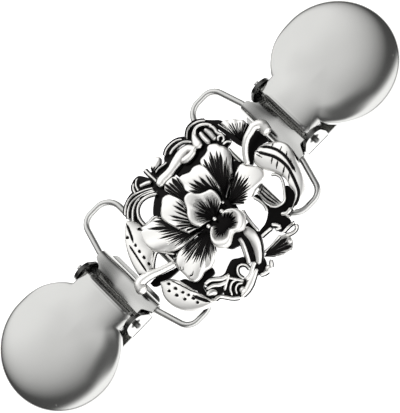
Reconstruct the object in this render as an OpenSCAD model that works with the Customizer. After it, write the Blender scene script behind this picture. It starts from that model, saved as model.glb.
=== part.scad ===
// Sweater clip. A pierced flower casting joins two lever clips through a wire loop on each side.
// It lies on its back on z = 0 with the flower facing +Z and the clips pointing along X.
// Lengths are in millimetres.

/* [Clip] */
// Distance from the middle of the part to each pivot pin
pivot_x = 25.7; // [25.2:0.1:26.2]
// Height of the pivot pins above the surface
pivot_z = 5.4; // [5.2:0.1:5.6]
// Diameter of the pivot pins
pin_d = 1.2; // [1.0:0.1:1.2]
// Length of the pivot pins, riveted ends included
pin_len = 18.2; // [17.2:0.1:19]
// Width of the back jaw over its two ears
jaw_w = 16; // [15.6:0.1:16.6]
// Sheet thickness of the back jaw
jaw_t = 0.7; // [0.6:0.05:0.8]
// Sheet thickness of the jaw's ears
ear_t = 0.8; // [0.6:0.05:0.9]
// Width of the jaw's tail behind the lever
tail_w = 14.3; // [13:0.1:14.6]
// Distance from the pivot to the end of the tail
tail_len = 6.9; // [6:0.1:7.2]

/* [Face] */
// Diameter of the round face
face_d = 26; // [25:0.1:26.4]
// Distance from the pivot to the centre of the round face
face_reach = 14; // [13.8:0.1:14.4]
// Height of the face's widest line at its centre
face_z = 6.3; // [6.2:0.1:6.6]
// Slope of the face down towards its tip, in degrees
face_tilt = 4.5; // [3:0.5:6]
// Width of the neck between the face and the pivot
neck_w = 14; // [13.6:0.1:14]
// Sheet thickness of the face
face_t = 0.5; // [0.4:0.05:0.6]

/* [Lever] */
// Width of the lever between the jaw's ears
lever_w = 12.4; // [12:0.1:12.4]
// Width of the barrel that is rolled round the wire
barrel_w = 16.4; // [16:0.1:16.6]
// Outside diameter of the barrel
barrel_d = 2.7; // [2.5:0.1:2.8]
// Distance from the pivot to the barrel's axis
lever_reach = 4.8; // [4.7:0.1:5]
// Sheet thickness of the lever
lever_t = 0.55; // [0.45:0.05:0.6]

/* [Wire loop] */
// Diameter of the wire
wire_d = 1.44; // [1.3:0.02:1.5]
// Height of the wire's centre above the surface
wire_z = 2.4; // [2.35:0.05:2.5]
// Half width of the loop, to the wire's centre
loop_half_w = 16; // [15.5:0.1:16.5]
// Distance from the middle to the loop's side that the casting holds
loop_inner_x = 11.4; // [11.2:0.1:11.6]

/* [Flower casting] */
// Thickness of the petals and leaves
petal_t = 0.95; // [0.8:0.05:1.1]
// How far the casting reaches below the clips' centre line
flower_drop = 20.9; // [20.8:0.1:22]
// Width of the strap that holds the two wires behind the casting
strap_w = 8; // [6:0.5:8]

/* [Hidden] */

$fn = 64;
eps = 0.01;

// Radial play of each shaft in its hole
pin_play = 0.04;
wire_play = 0.06;

// The clips' centre line lies off the middle of the box, because the casting hangs below it
axis_y = (flower_drop - loop_half_w - wire_d / 2) / 2;

barrel_x = pivot_x - lever_reach;
face_x = pivot_x + face_reach;
ear_in = jaw_w / 2 - ear_t;
flange_t = 0.6;

// Colours of the antique casting, of the wire, pins and faces, and of the pressed backs
CASTING = "gainsboro";
SATIN = "silver";
DARK_SATIN = "darkgray";

// Everything on one side is drawn for +X and mirrored for -X
module on_side(side) {
    translate([0, axis_y, 0]) mirror([side < 0 ? 1 : 0, 0, 0]) children();
}

// A cylinder along Y through [x, z], centred on the clips' centre line
module along_y(x, z, d, len) {
    translate([x, 0, z]) rotate([90, 0, 0]) cylinder(d = d, h = len, center = true);
}

// A flat profile in XZ given a thickness along Y from y0 to y1
module side_plate(y0, y1) {
    translate([0, y1, 0]) rotate([90, 0, 0]) linear_extrude(y1 - y0) children();
}

// WIRE LOOP

// Corners of the loop as [x, y, bend radius], anticlockwise from the barrel's end at +Y
shoulder_run = 2.1;
loop_corners = [
    [barrel_x, barrel_w / 2 + 0.5, 2.4],
    [barrel_x - shoulder_run, loop_half_w, 2.9],
    [loop_inner_x, loop_half_w, 3.4],
    [loop_inner_x, -loop_half_w, 3.4],
    [barrel_x - shoulder_run, -loop_half_w, 2.9],
    [barrel_x, -barrel_w / 2 - 0.5, 2.4]];

function flat(p) = [p.x, p.y];
function unit(v) = v / norm(v);
function heading(v) = atan2(v.y, v.x);
function turn_at(corners, i) = let (
        n = len(corners),
        a = flat(corners[i]) - flat(corners[(i + n - 1) % n]),
        b = flat(corners[(i + 1) % n]) - flat(corners[i]),
        raw = heading(b) - heading(a))
    raw > 180 ? raw - 360 : raw < -180 ? raw + 360 : raw;
function setback(corners, i) = corners[i].z * tan(abs(turn_at(corners, i)) / 2);

// A closed wire with straight stretches and round bends
module closed_wire(corners, d) {
    n = len(corners);
    for (i = [0 : n - 1]) {
        here = flat(corners[i]);
        ahead = flat(corners[(i + 1) % n]);
        way = unit(ahead - here);
        start = here + way * setback(corners, i);
        run = norm(ahead - here) - setback(corners, i) - setback(corners, (i + 1) % n);
        translate([start.x, start.y, 0]) rotate([0, 0, heading(way)]) rotate([0, 90, 0])
            cylinder(d = d, h = run);

        turn = turn_at(corners, i);
        bend = corners[i].z;
        hub = start + bend * (turn > 0 ? [-way.y, way.x] : [way.y, -way.x]);
        spoke = heading(start - hub);
        translate([hub.x, hub.y, 0]) rotate([0, 0, turn > 0 ? spoke - turn : spoke])
            rotate_extrude(angle = abs(turn)) translate([bend, 0]) circle(d = d);
    }
}

module loop(side) {
    color(SATIN) on_side(side) translate([0, 0, wire_z]) closed_wire(loop_corners, wire_d);
}

// LEVER

lug_r = pin_d / 2 + 0.45;
lever_top = wire_z + barrel_d / 2;
lever_end = pivot_x + 1.5;
shoulder_x = pivot_x - 3.5;
shoulder_r = 0.8;

module lever(side) {
    plate_len = lever_end - barrel_x;
    color(DARK_SATIN) on_side(side) difference() {
        union() {
            along_y(barrel_x, wire_z, barrel_d, barrel_w);
            translate([barrel_x, -lever_w / 2, lever_top - lever_t]) cube([plate_len, lever_w, lever_t]);
            translate([barrel_x, -barrel_w / 2, lever_top - lever_t])
                cube([shoulder_x - barrel_x, barrel_w, lever_t]);
            for (hand = [-1, 1]) {
                lever_shoulder(hand);
                lever_lug(hand);
            }
        }
        along_y(barrel_x, wire_z, wire_d + 2 * wire_play, barrel_w + 1);
        along_y(pivot_x, pivot_z, pin_d + 2 * wire_play, lever_w + 1);
    }
}

// The round inside corner where the lever widens to its barrel
module lever_shoulder(hand) {
    translate([shoulder_x, hand * lever_w / 2, lever_top - lever_t]) mirror([0, hand < 0 ? 1 : 0, 0])
        difference() {
            translate([-eps, -eps, 0]) cube([shoulder_r, shoulder_r, lever_t]);
            translate([shoulder_r, shoulder_r, -1]) cylinder(r = shoulder_r, h = lever_t + 2);
        }
}

// The ear of the lever that turns on the pin
module lever_lug(hand) {
    lug_foot = 1.5;
    lug_back = 0.7;
    y0 = hand > 0 ? lever_w / 2 - flange_t : -lever_w / 2;
    side_plate(y0, y0 + flange_t) {
        translate([pivot_x, pivot_z]) circle(lug_r);
        polygon([[pivot_x - lug_back, lever_top - lever_t], [pivot_x + lug_foot, lever_top - lever_t],
                 [pivot_x + lug_r, pivot_z], [pivot_x - lug_back, pivot_z]]);
    }
}

// BACK JAW

ear_r = 2.3;
ear_back = 3.1;
ear_front = 2.8;
lip_x = face_x + 8.2;
lip_top = 5.7;
tail_corner = 1.4;

module back_jaw(side) {
    color(DARK_SATIN) on_side(side) difference() {
        union() {
            jaw_plate();
            for (hand = [-1, 1])
                jaw_ear(hand > 0 ? ear_in : -jaw_w / 2);
            translate([lip_x, -jaw_w / 2, 0]) cube([jaw_t, jaw_w, lip_top]);
        }
        along_y(pivot_x, pivot_z, pin_d + 2 * pin_play, jaw_w + 1);
        for (hand = [-1, 1])
            ear_countersink(hand);
    }
}

// The flat back of the jaw, with a narrower tail that has round corners
module jaw_plate() {
    tail_end = pivot_x - tail_len;
    body_start = pivot_x - ear_back;
    translate([body_start, -jaw_w / 2, 0]) cube([lip_x + jaw_t - body_start, jaw_w, jaw_t]);
    translate([tail_end + tail_corner, -tail_w / 2, 0])
        cube([body_start - tail_end - tail_corner + 1, tail_w, jaw_t]);
    translate([tail_end, -tail_w / 2 + tail_corner, 0])
        cube([tail_corner + 1, tail_w - 2 * tail_corner, jaw_t]);
    for (hand = [-1, 1])
        translate([tail_end + tail_corner, hand * (tail_w / 2 - tail_corner), 0])
            cylinder(r = tail_corner, h = jaw_t);
}

module jaw_ear(y0) {
    ear_knee = 3.2;
    ear_neck = 2.2;
    side_plate(y0, y0 + ear_t) {
        translate([pivot_x, pivot_z]) circle(ear_r);
        polygon([[pivot_x - ear_back, 0], [pivot_x + ear_front, 0], [pivot_x + ear_front, ear_knee],
                 [pivot_x + ear_neck, pivot_z + 0.6], [pivot_x - ear_neck, pivot_z + 0.6],
                 [pivot_x - ear_back, ear_knee]]);
    }
}

// The pressed ring round the pin on the outside of an ear
module ear_countersink(hand) {
    ring_d = 2.2;
    ring_depth = 0.3;
    translate([pivot_x, hand * (jaw_w / 2 - ring_depth), pivot_z]) rotate([-90 * hand, 0, 0])
        cylinder(d1 = pin_d + 2 * pin_play, d2 = ring_d, h = ring_depth + eps);
}

// PIVOT PIN

module pivot_pin(side) {
    chamfer = 0.2;
    color(SATIN) on_side(side) {
        along_y(pivot_x, pivot_z, pin_d, pin_len - 2 * chamfer);
        for (hand = [-1, 1])
            translate([pivot_x, hand * (pin_len / 2 - chamfer), pivot_z]) rotate([-90 * hand, 0, 0])
                cylinder(d1 = pin_d, d2 = pin_d - 2 * chamfer, h = chamfer);
    }
}

// FACE

cap_top = 1.4;
cap_depth = 1.5;
cap_corner = 1.9;
cap_dome_r = 140;
neck_top = pivot_z + 1.7;
neck_start = pivot_x - 0.4;
neck_end = face_x - 8.7;
neck_end_top = face_z + cap_top + 8.7 * sin(face_tilt) - 0.25;

// Half section of the domed cap, shrunk all round by inset
module cap_section(inset) {
    r = face_d / 2 - inset;
    top = cap_top - inset;
    corner = cap_corner - inset;
    intersection() {
        union() {
            translate([0, -cap_depth]) square([r, cap_depth + top - corner]);
            translate([0, -cap_depth]) square([r - corner, cap_depth + top]);
            translate([r - corner, top - corner]) circle(corner);
        }
        translate([0, top - cap_dome_r]) circle(cap_dome_r, $fn = 360);
    }
}

module in_face_frame() {
    translate([face_x, 0, face_z]) rotate([0, face_tilt, 0]) children();
}

module face(side) {
    color(SATIN) on_side(side) difference() {
        union() {
            difference() {
                in_face_frame() rotate_extrude($fn = 96) cap_section(0);
                translate([neck_start - 1, -neck_w / 2, 0]) cube([neck_end - neck_start + 1, neck_w, 12]);
            }
            side_plate(-neck_w / 2, neck_w / 2) neck_outline();
        }
        difference() {
            in_face_frame() translate([0, 0, -eps]) rotate_extrude($fn = 96) cap_section(face_t);
            translate([neck_start - 1, -neck_w / 2, 0]) cube([neck_end - neck_start + 1, neck_w, 12]);
        }
        in_face_frame() translate([0, 0, -cap_depth - 2]) cylinder(d = face_d - 2 * face_t, h = 2);
        side_plate(-neck_w / 2 + flange_t, neck_w / 2 - flange_t) neck_hollow();
        along_y(pivot_x, pivot_z, pin_d + 2 * wire_play, neck_w + 1);
    }
}

// Side view of the neck: a ramp from the pivot up to the cap, over flanges that hold the pin
module neck_outline() {
    flange_low = pivot_z - 1.5;
    flange_back = pivot_x - 1.3;
    polygon([[flange_back, flange_low], [pivot_x + 1.6, flange_low], [pivot_x + 3.4, pivot_z + 0.4],
             [neck_end, face_z - 0.4], [neck_end, neck_end_top], [pivot_x + 1.5, neck_top + 0.15],
             [neck_start, neck_top], [flange_back, pivot_z + 0.6]]);
}

// Side view of the hollow under the neck
module neck_hollow() {
    roof = neck_top - face_t;
    polygon([[pivot_x - 4, 0], [neck_end + 0.6, 0], [neck_end + 0.6, neck_end_top - face_t - 0.05],
             [pivot_x + 1.5, roof + 0.15], [neck_start, roof], [neck_start - eps, neck_top + 1],
             [pivot_x - 4, neck_top + 1]]);
}

// STRAP BEHIND THE CASTING

module back_strap() {
    color(DARK_SATIN) translate([0, axis_y, 0]) difference() {
        union() {
            translate([-loop_inner_x, -strap_w / 2, lever_top - lever_t])
                cube([2 * loop_inner_x, strap_w, lever_t]);
            for (side = [-1, 1])
                along_y(side * loop_inner_x, wire_z, barrel_d, strap_w);
        }
        for (side = [-1, 1])
            along_y(side * loop_inner_x, wire_z, wire_d + 2 * wire_play, strap_w + 1);
    }
}

// FLOWER CASTING

// Petals and leaves: root, middle and tip of the centre line as [x, y, z], width, camber (positive
// turns the edges down), belly (under 1 puts the widest place nearer the root), ruffle of the edge.
blades = [
    // Ring of big petals
    [[-1.0, -5.2, 4.9], [-7.5, -2.5, 7.2], [-12.6, 3.2, 5.4], 9.4, 0.5, 1.2, 0.25],
    [[1.8, -5.0, 4.9], [7.0, -1.5, 7.2], [12.0, 6.4, 5.6], 9.4, 0.5, 1.2, 0.25],
    [[2.0, -5.4, 4.9], [8.0, -5.0, 6.8], [14.6, -4.2, 5.4], 7.4, 0.4, 1.1, 0.25],
    [[-1.0, -5.8, 4.9], [-6.0, -6.2, 6.8], [-12.4, -8.0, 5.2], 7.6, 0.4, 1.1, 0.35],
    [[0.0, -3.0, 4.9], [-0.8, 3.0, 6.4], [-0.9, 8.2, 5.0], 5.4, 0.3, 1.0, 0.1],
    // Upper petals round the heart
    [[-0.4, -4.6, 5.4], [-4.6, -1.0, 7.6], [-4.3, 6.0, 7.0], 6.2, 0.3, 1.5, 0.1],
    [[1.4, -4.4, 5.4], [4.8, -0.5, 7.6], [3.9, 6.6, 7.0], 6.4, 0.3, 1.5, 0.1],
    [[0.4, -4.8, 5.6], [0.3, -2.0, 8.8], [0.1, 2.6, 8.0], 7.4, 0.6, 1.2, 0.1],
    [[0.6, -5.4, 5.2], [0.8, -8.4, 5.8], [0.9, -11.2, 7.2], 8.6, -1.2, 1.3, 0.15],
    // Leaves at the left
    [[-12.9, 8.6, 4.8], [-15.6, 3.2, 6.6], [-16.2, -3.2, 4.8], 6.2, 0.5, 0.9, 0.1],
    [[-17.0, -5.6, 4.9], [-17.6, -11.5, 6.2], [-10.8, -16.4, 4.8], 5.4, 0.4, 0.9, 0.1],
    // Leaves at the right
    [[15.4, -1.2, 5.0], [22.4, -6.2, 6.4], [12.6, -15.2, 4.9], 5.6, 0.4, 1.0, 0.2],
    [[14.4, 2.2, 4.8], [15.2, 5.8, 5.8], [17.2, 9.0, 4.9], 5.6, 0.3, 1.3, 0.2],
    [[10.8, -6.8, 5.0], [10.7, -9.6, 5.4], [11.0, -12.6, 4.8], 2.8, 0.3, 1.0, 0.0],
    // Leaves and buds on the upper and lower edges
    [[1.6, -16.4, 2.4], [5.0, -17.2, 3.4], [8.8, -18.4, 1.8], 3.8, 0.4, 1.0, 0.2],
    [[-2.2, 12.4, 1.8], [-1.0, 13.6, 2.4], [0.6, 14.5, 1.4], 1.8, 0.2, 1.0, 0.0],
    [[0.0, 12.2, 1.8], [1.2, 13.4, 2.2], [2.0, 14.9, 1.4], 1.6, 0.2, 1.0, 0.0],
    [[-1.8, 11.2, 2.4], [0.2, 12.2, 3.2], [2.2, 11.9, 2.2], 1.8, 0.2, 1.0, 0.0],
    [[7.4, -13.8, 3.0], [9.0, -15.2, 3.6], [10.2, -16.6, 2.6], 2.2, 0.2, 1.0, 0.0]];

// Stems, scrolls and tendrils: radius, then the way of the centre line as [x, y, z]
strands = [
    // Wavy ribbon above the petals and its arch
    [0.80, [[-4.2, 8.4, 3.8], [-1.5, 9.5, 3.5], [2.0, 9.5, 3.5], [4.6, 10.3, 3.4], [6.8, 11.0, 3.4],
            [8.4, 8.8, 4.0], [9.0, 6.8, 4.8]]],
    [0.70, [[9.6, 7.0, 4.9], [9.8, 10.4, 4.6], [11.2, 11.6, 4.6], [12.6, 10.4, 4.8], [12.8, 8.0, 4.8],
            [12.2, 6.2, 4.9]]],
    // Double strand of the upper right edge
    [0.70, [[1.4, 12.4, 1.4], [4.4, 14.3, 0.55], [6.6, 13.8, 0.55], [8.0, 12.5, 1.6], [9.4, 13.3, 3.4],
            [11.2, 13.2, 4.7], [12.8, 11.8, 4.8], [14.0, 9.8, 4.8], [14.8, 7.6, 4.8], [14.6, 4.0, 4.8]]],
    [0.60, [[1.6, 11.6, 2.0], [5.0, 12.5, 2.0], [7.9, 10.9, 3.0], [9.4, 11.9, 3.8], [11.0, 12.4, 4.6],
            [12.6, 11.0, 4.8]]],
    // Strands round the oval opening at the upper left
    [0.70, [[-12.4, 9.0, 4.8], [-9.8, 12.0, 4.4], [-7.0, 12.9, 2.4], [-4.2, 11.6, 1.8], [-2.4, 10.0, 2.8]]],
    [0.60, [[-12.2, 8.0, 4.8], [-9.4, 10.8, 4.6], [-6.2, 11.0, 3.2], [-3.4, 9.4, 3.2]]],
    [0.60, [[-12.0, 5.6, 4.8], [-10.4, 8.0, 4.8], [-8.0, 9.8, 4.2], [-5.2, 9.5, 3.8], [-3.4, 8.2, 4.0]]],
    [0.60, [[-11.6, 5.0, 4.8], [-9.4, 5.2, 4.8], [-7.4, 4.8, 5.0], [-6.6, 2.6, 5.4]]],
    [0.65, [[-7.8, 12.2, 2.2], [-6.6, 14.1, 0.7], [-4.8, 14.7, 0.5], [-3.2, 13.0, 1.0],
            [-2.6, 11.4, 1.8]]],
    [0.60, [[-2.6, 9.4, 3.2], [-2.5, 12.0, 1.8], [-2.3, 14.8, 0.8]]],
    // Frame of the opening between the left leaf and the petals
    [0.65, [[-16.0, -3.2, 4.9], [-13.8, -1.2, 4.9], [-11.8, -1.4, 5.0], [-10.9, -4.0, 5.0],
            [-12.0, -6.0, 5.0]]],
    [0.70, [[-11.4, -7.4, 4.9], [-12.6, -9.2, 4.8], [-11.8, -12.0, 4.7], [-11.4, -15.8, 4.6]]],
    // Scrolls of the lower left edge
    [0.70, [[-12.2, -10.0, 4.8], [-10.4, -12.6, 4.4], [-8.2, -13.6, 3.2], [-6.6, -15.2, 2.2],
            [-5.2, -16.4, 1.8], [-4.2, -18.4, 1.2]]],
    [0.65, [[-11.6, -11.4, 4.8], [-8.6, -12.4, 3.8], [-6.6, -13.8, 3.0], [-4.2, -12.6, 3.4],
            [-2.2, -13.6, 3.0], [0.2, -13.4, 3.2]]],
    [0.70, [[-11.2, -15.4, 4.7], [-9.6, -15.8, 2.8], [-9.0, -17.8, 1.4], [-7.4, -19.6, 0.9],
            [-5.0, -20.0, 0.8], [-2.4, -19.4, 0.9]]],
    [0.65, [[-9.0, -17.4, 1.6], [-7.8, -16.4, 1.8], [-6.2, -15.9, 2.0], [-4.8, -16.8, 1.8],
            [-4.4, -18.4, 1.2], [-5.6, -19.4, 1.0], [-7.0, -18.8, 1.0], [-6.8, -17.6, 1.1]]],
    [0.65, [[-4.4, -18.6, 1.0], [-4.2, -16.2, 1.8], [-2.8, -14.7, 2.4], [-1.2, -15.4, 2.4],
            [-1.6, -17.4, 1.6], [-2.8, -19.2, 1.0]]],
    // Stems under the heart
    [0.80, [[0.8, -9.8, 4.6], [0.6, -12.6, 3.6], [-0.6, -15.4, 2.4], [-1.4, -17.0, 1.8]]],
    [0.95, [[3.0, -9.8, 4.8], [2.8, -12.8, 3.6], [1.2, -15.6, 2.6], [-0.8, -17.8, 1.6], [-2.0, -19.6, 0.9]]],
    [0.75, [[4.6, -12.8, 3.4], [3.6, -15.2, 2.6], [1.2, -17.2, 2.0], [-0.2, -19.0, 1.2]]],
    [0.55, [[-1.2, -18.6, 1.2], [-1.0, -20.2, 0.6], [0.6, -20.4, 0.4], [2.2, -19.8, 0.8], [2.4, -18.0, 1.6]]],
    // Frames of the two openings at the lower right
    [0.65, [[5.6, -7.2, 5.0], [4.9, -9.8, 4.4], [4.9, -12.4, 3.8], [6.6, -13.3, 3.4],
            [8.6, -12.6, 3.9], [9.5, -10.2, 4.6], [9.4, -7.4, 5.2]]],
    [0.70, [[4.2, -13.4, 3.2], [7.0, -13.7, 3.2], [9.6, -13.3, 4.0], [12.0, -13.0, 4.7],
            [14.2, -12.2, 4.8], [15.4, -10.0, 4.8], [15.9, -7.8, 4.8], [14.4, -5.4, 5.0]]],
    [0.60, [[9.2, -13.2, 3.8], [9.8, -15.0, 3.0], [8.6, -16.6, 2.2], [8.2, -18.2, 1.8]]],
    [0.60, [[7.6, -18.2, 2.0], [9.8, -18.0, 2.0], [10.0, -16.4, 2.6], [8.4, -14.8, 3.0], [7.0, -15.0, 2.8]]],
    // Frame of the opening beside the right leaf, and the small ring above it
    [0.65, [[12.2, -2.4, 5.2], [11.9, 1.6, 5.2], [12.4, 4.4, 5.0], [13.8, 4.4, 4.9], [14.8, 2.0, 4.9],
            [14.4, -1.4, 5.0], [12.8, -2.6, 5.2]]],
    [0.45, [[12.2, 5.0, 5.0], [13.4, 5.6, 5.0], [13.4, 7.0, 5.0], [12.2, 7.2, 5.0], [11.8, 6.0, 5.0]]]];

// Tendrils that arch over the barrels, with a ball at the end: radius, ball radius, way
tendrils = [
    [0.80, 1.25, [[12.6, -2.6, 5.4], [14.4, 0.4, 6.2], [16.8, 2.2, 7.2], [19.2, 2.7, 7.4],
                  [20.7, 1.6, 7.0], [20.3, 0.2, 6.6]]],
    [0.80, 1.25, [[-11.6, -5.2, 5.4], [-14.4, -4.4, 6.2], [-17.0, -3.5, 6.8], [-19.2, -3.2, 6.9],
                  [-20.0, -4.2, 6.6]]]];

// Stamens as the bead's [x, y, z, radius]
stamens = [[-1.6, -5.2, 6.6, 0.60], [0.4, -5.2, 6.8, 0.50], [2.6, -5.0, 6.6, 0.60], [3.8, -4.0, 6.5, 0.45]];

// Beads on the lower edge as [x, y, z, radius]
beads = [[0.7, -19.3, 1.5, 1.25], [7.9, -18.9, 1.4, 0.60], [-6.0, -18.2, 1.0, 0.70]];

// Radial ribs on the petals, as the row of the petal in blades and the ribs on it
rib_rows = [[0, 4], [1, 4], [2, 3], [3, 3], [5, 2], [6, 3], [7, 2]];
rib_spread = 0.62;
rib_r = 0.28;

// Narrow leaves take fewer steps along and lanes across
narrow = 4;
function blade_steps(b) = b[3] < narrow ? 5 : 7;
function blade_lanes(b) = b[3] < narrow ? 2 : 4;
strand_sides = 6;
strand_steps = 2;

// A quadratic curve by its three handles
function curve(p, u) = (1 - u) * (1 - u) * p[0] + 2 * u * (1 - u) * p[1] + u * u * p[2];
function curve_way(p, u) = 2 * (1 - u) * (p[1] - p[0]) + 2 * u * (p[2] - p[1]);
// The unit vector to the left of a way, level with the floor
function left_of(way) = unit([-way.y, way.x, 0]);
function blade_half(b, u) = b[3] / 2 * pow(sin(12 + 156 * pow(u, b[5])), 0.8);
function blade_point(b, u, v) = curve(b, u) + left_of(curve_way(b, u)) * blade_half(b, u) * v
    + [0, 0, -b[4] * v * v + b[6] * v * v * sin(1080 * u)];

// One petal or leaf: a cambered sheet that narrows to both ends
module blade(b) {
    n = blade_steps(b);
    m = blade_lanes(b);
    row = m + 1;
    layer = (n + 1) * row;
    top = [for (i = [0 : n]) for (j = [0 : m]) blade_point(b, i / n, 2 * j / m - 1)];
    bottom = [for (p = top) p - [0, 0, petal_t]];
    lid = [for (i = [0 : n - 1]) for (j = [0 : m - 1]) let (a = i * row + j)
        [a, a + 1, a + 1 + row, a + row]];
    base = [for (f = lid) [f[3] + layer, f[2] + layer, f[1] + layer, f[0] + layer]];
    ends = [for (j = [0 : m - 1]) for (i = [0, n]) let (a = i * row + j, c = a + 1)
        i == 0 ? [c, a, a + layer, c + layer] : [a, c, c + layer, a + layer]];
    flanks = [for (i = [0 : n - 1]) for (j = [0, m]) let (a = i * row + j, c = a + row)
        j == 0 ? [a, c, c + layer, a + layer] : [c, a, a + layer, c + layer]];
    polyhedron(concat(top, bottom), concat(lid, base, ends, flanks), convexity = 4);
}

// Points on a smooth way through the given ones
function spline_at(p, i, u) = let (
        a = p[max(i - 1, 0)], b = p[i], c = p[i + 1], d = p[min(i + 2, len(p) - 1)])
    0.5 * (2 * b + (c - a) * u + (2 * a - 5 * b + 4 * c - d) * u * u + (3 * b - a - 3 * c + d) * u * u * u);
function smooth(p, steps) = concat(
    [for (i = [0 : len(p) - 2]) for (k = [0 : steps - 1]) spline_at(p, i, k / steps)], [p[len(p) - 1]]);

// A round strand along a smooth way
module strand(r, way) {
    path = smooth(way, strand_steps);
    n = len(path);
    k = strand_sides;
    points = [for (i = [0 : n - 1]) let (
            t = unit(path[min(i + 1, n - 1)] - path[max(i - 1, 0)]),
            s = left_of(t),
            up = cross(t, s))
        for (j = [0 : k - 1]) path[i] + r * (cos(360 * j / k) * s + sin(360 * j / k) * up)];
    walls = [for (i = [0 : n - 2]) for (j = [0 : k - 1]) let (a = i * k + j, c = i * k + (j + 1) % k)
        [c, a, a + k, c + k]];
    first = [[for (j = [0 : k - 1]) j]];
    last = [[for (j = [k - 1 : -1 : 0]) (n - 1) * k + j]];
    polyhedron(points, concat(walls, first, last), convexity = 4);
}

// A raised rib that runs out along a petal
module rib(b, v) {
    rib_ends = [0.2, 0.45, 0.7];
    for (i = [0 : 1])
        hull()
            for (u = [rib_ends[i], rib_ends[i + 1]])
                translate(blade_point(b, u, v)) sphere(rib_r, $fn = 4);
}

module tendril(row) {
    way = row[2];
    tip = way[len(way) - 1];
    strand(row[0], way);
    translate(tip) sphere(row[1], $fn = 14);
}

// The solid middle that carries the petals, higher under the upper ones, and the stamens on it
module heart() {
    hull() {
        translate([0.4, -4.6, petal_floor]) cylinder(r = 5, h = 0.9, $fn = 20);
        translate([0.5, -5.4, petal_floor]) cylinder(r = 3, h = 1.6, $fn = 16);
        translate([-0.2, 0.1, petal_floor]) cylinder(r = 2.7, h = 2.9, $fn = 16);
    }
    for (s = stamens)
        hull() {
            translate([s.x, s.y, s.z]) sphere(s[3], $fn = 10);
            translate([s.x, s.y - 0.5, petal_floor + 0.8]) sphere(s[3] / 2, $fn = 6);
        }
}

// The casting's underside stays just clear of the strap
petal_floor = lever_top + 0.05;
seat_play = 0.2;
// A block this wide on each side takes in the whole casting, and is cut off below the surface
flower_room = 30;
below = 10;

module flower() {
    color(CASTING) translate([0, axis_y, 0]) difference() {
        union() {
            heart();
            for (b = blades)
                blade(b);
            for (s = strands)
                strand(s[0], s[1]);
            for (t = tendrils)
                tendril(t);
            for (b = beads)
                translate([b[0], b[1], b[2]]) sphere(b[3], $fn = 10);
            for (row = rib_rows)
                for (k = [1 : row[1]])
                    rib(blades[row[0]], rib_spread * (2 * (k - 0.5) / row[1] - 1));
        }
        translate([-flower_room, -flower_room, -below]) cube([2 * flower_room, 2 * flower_room, below]);
        strap_seat();
    }
}

// Flat seat that keeps the roots of the petals clear of the strap
module strap_seat() {
    seat_half = loop_inner_x + barrel_d / 2;
    translate([-seat_half, -strap_w / 2 - seat_play, 0])
        cube([2 * seat_half, strap_w + 2 * seat_play, petal_floor]);
}

flower();
back_strap();
loop(-1);  // left_loop
lever(-1);  // left_lever
back_jaw(-1);  // left_back_jaw
pivot_pin(-1);  // left_pivot_pin
face(-1);  // left_face
loop(1);  // right_loop
lever(1);  // right_lever
back_jaw(1);  // right_back_jaw
pivot_pin(1);  // right_pivot_pin
face(1);  // right_face
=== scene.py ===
"""Looks of a sweater clip: a pierced flower casting, two wire loops and two lever clips.

Lengths are in millimetres and turn into metres when a mesh is made. Y is measured from the clips'
centre line, which lies AXIS_Y off the middle of the box.
"""

import logging
import math
from dataclasses import dataclass
from enum import Enum
from typing import Any, Sequence

import bpy
import numpy as np
from mathutils import Matrix, Vector


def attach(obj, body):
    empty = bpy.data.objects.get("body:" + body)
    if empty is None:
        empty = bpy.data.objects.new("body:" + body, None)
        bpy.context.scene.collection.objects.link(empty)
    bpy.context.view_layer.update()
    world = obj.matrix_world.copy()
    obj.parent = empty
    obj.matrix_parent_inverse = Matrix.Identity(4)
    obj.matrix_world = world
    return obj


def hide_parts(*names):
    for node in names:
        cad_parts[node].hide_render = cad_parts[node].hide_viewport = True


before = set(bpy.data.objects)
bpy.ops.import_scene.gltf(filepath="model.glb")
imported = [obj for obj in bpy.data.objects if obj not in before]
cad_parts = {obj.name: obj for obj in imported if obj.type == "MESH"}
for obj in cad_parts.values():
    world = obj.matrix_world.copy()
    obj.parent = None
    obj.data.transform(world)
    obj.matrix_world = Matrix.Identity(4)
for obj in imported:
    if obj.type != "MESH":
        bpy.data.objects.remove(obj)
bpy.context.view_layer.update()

LOG = logging.getLogger("sweater_clip")

MM = 0.001
AXIS_Y = 2.09
# Height that no point of the casting goes below, and its thinnest edge, in mm
LOWEST = 0.02
THINNEST = 0.02
# Edges that turn by more than this are sharp
SHARP = math.radians(42)
# Point attribute that darkens a surface: tarnish on the casting, painted shade on the clips
TARNISH_AND_SHADE = "tarnish_and_shade"

Range = tuple[float, float]
Point = tuple[float, float, float]
Way = Sequence[Point]
Flat = Sequence[tuple[float, ...]]


class Slot(Enum):
    """The record's material slots."""

    ANTIQUE = "antique_silver"
    SATIN = "satin_nickel"
    BRIGHT = "bright_nickel"
    PLAIN = "plain_nickel"


class Side(Enum):
    """The two clips, with the sign of their X."""

    LEFT = -1
    RIGHT = 1

    @property
    def word(self) -> str:
        """Name of the side in the CAD nodes and bodies."""
        return self.name.lower()


# ---- numbers and curves


def smoothstep(low: float, high: float, x: np.ndarray) -> np.ndarray:
    """Rises smoothly from 0 at low to 1 at high.

    Args:
        low: where the rise starts.
        high: where it ends.
        x: values to map.

    Returns:
        The mapped values.
    """
    t = np.clip((x - low) / (high - low), 0.0, 1.0)
    return t * t * (3.0 - 2.0 * t)


def travelled(line: np.ndarray) -> np.ndarray:
    """Distance along a line of points, from its start to each of them."""
    return np.concatenate([[0.0], np.cumsum(np.linalg.norm(np.diff(line, axis=0), axis=1))])


def evened(line: np.ndarray, count: int) -> np.ndarray:
    """Even points along a line.

    Args:
        line: the line's points, of shape (n, axes).
        count: number of points wanted.

    Returns:
        An array of shape (count, axes).
    """
    reach = travelled(line)
    at = np.linspace(0.0, reach[-1], count)
    return np.stack([np.interp(at, reach, axis) for axis in line.T], axis=1)


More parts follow.
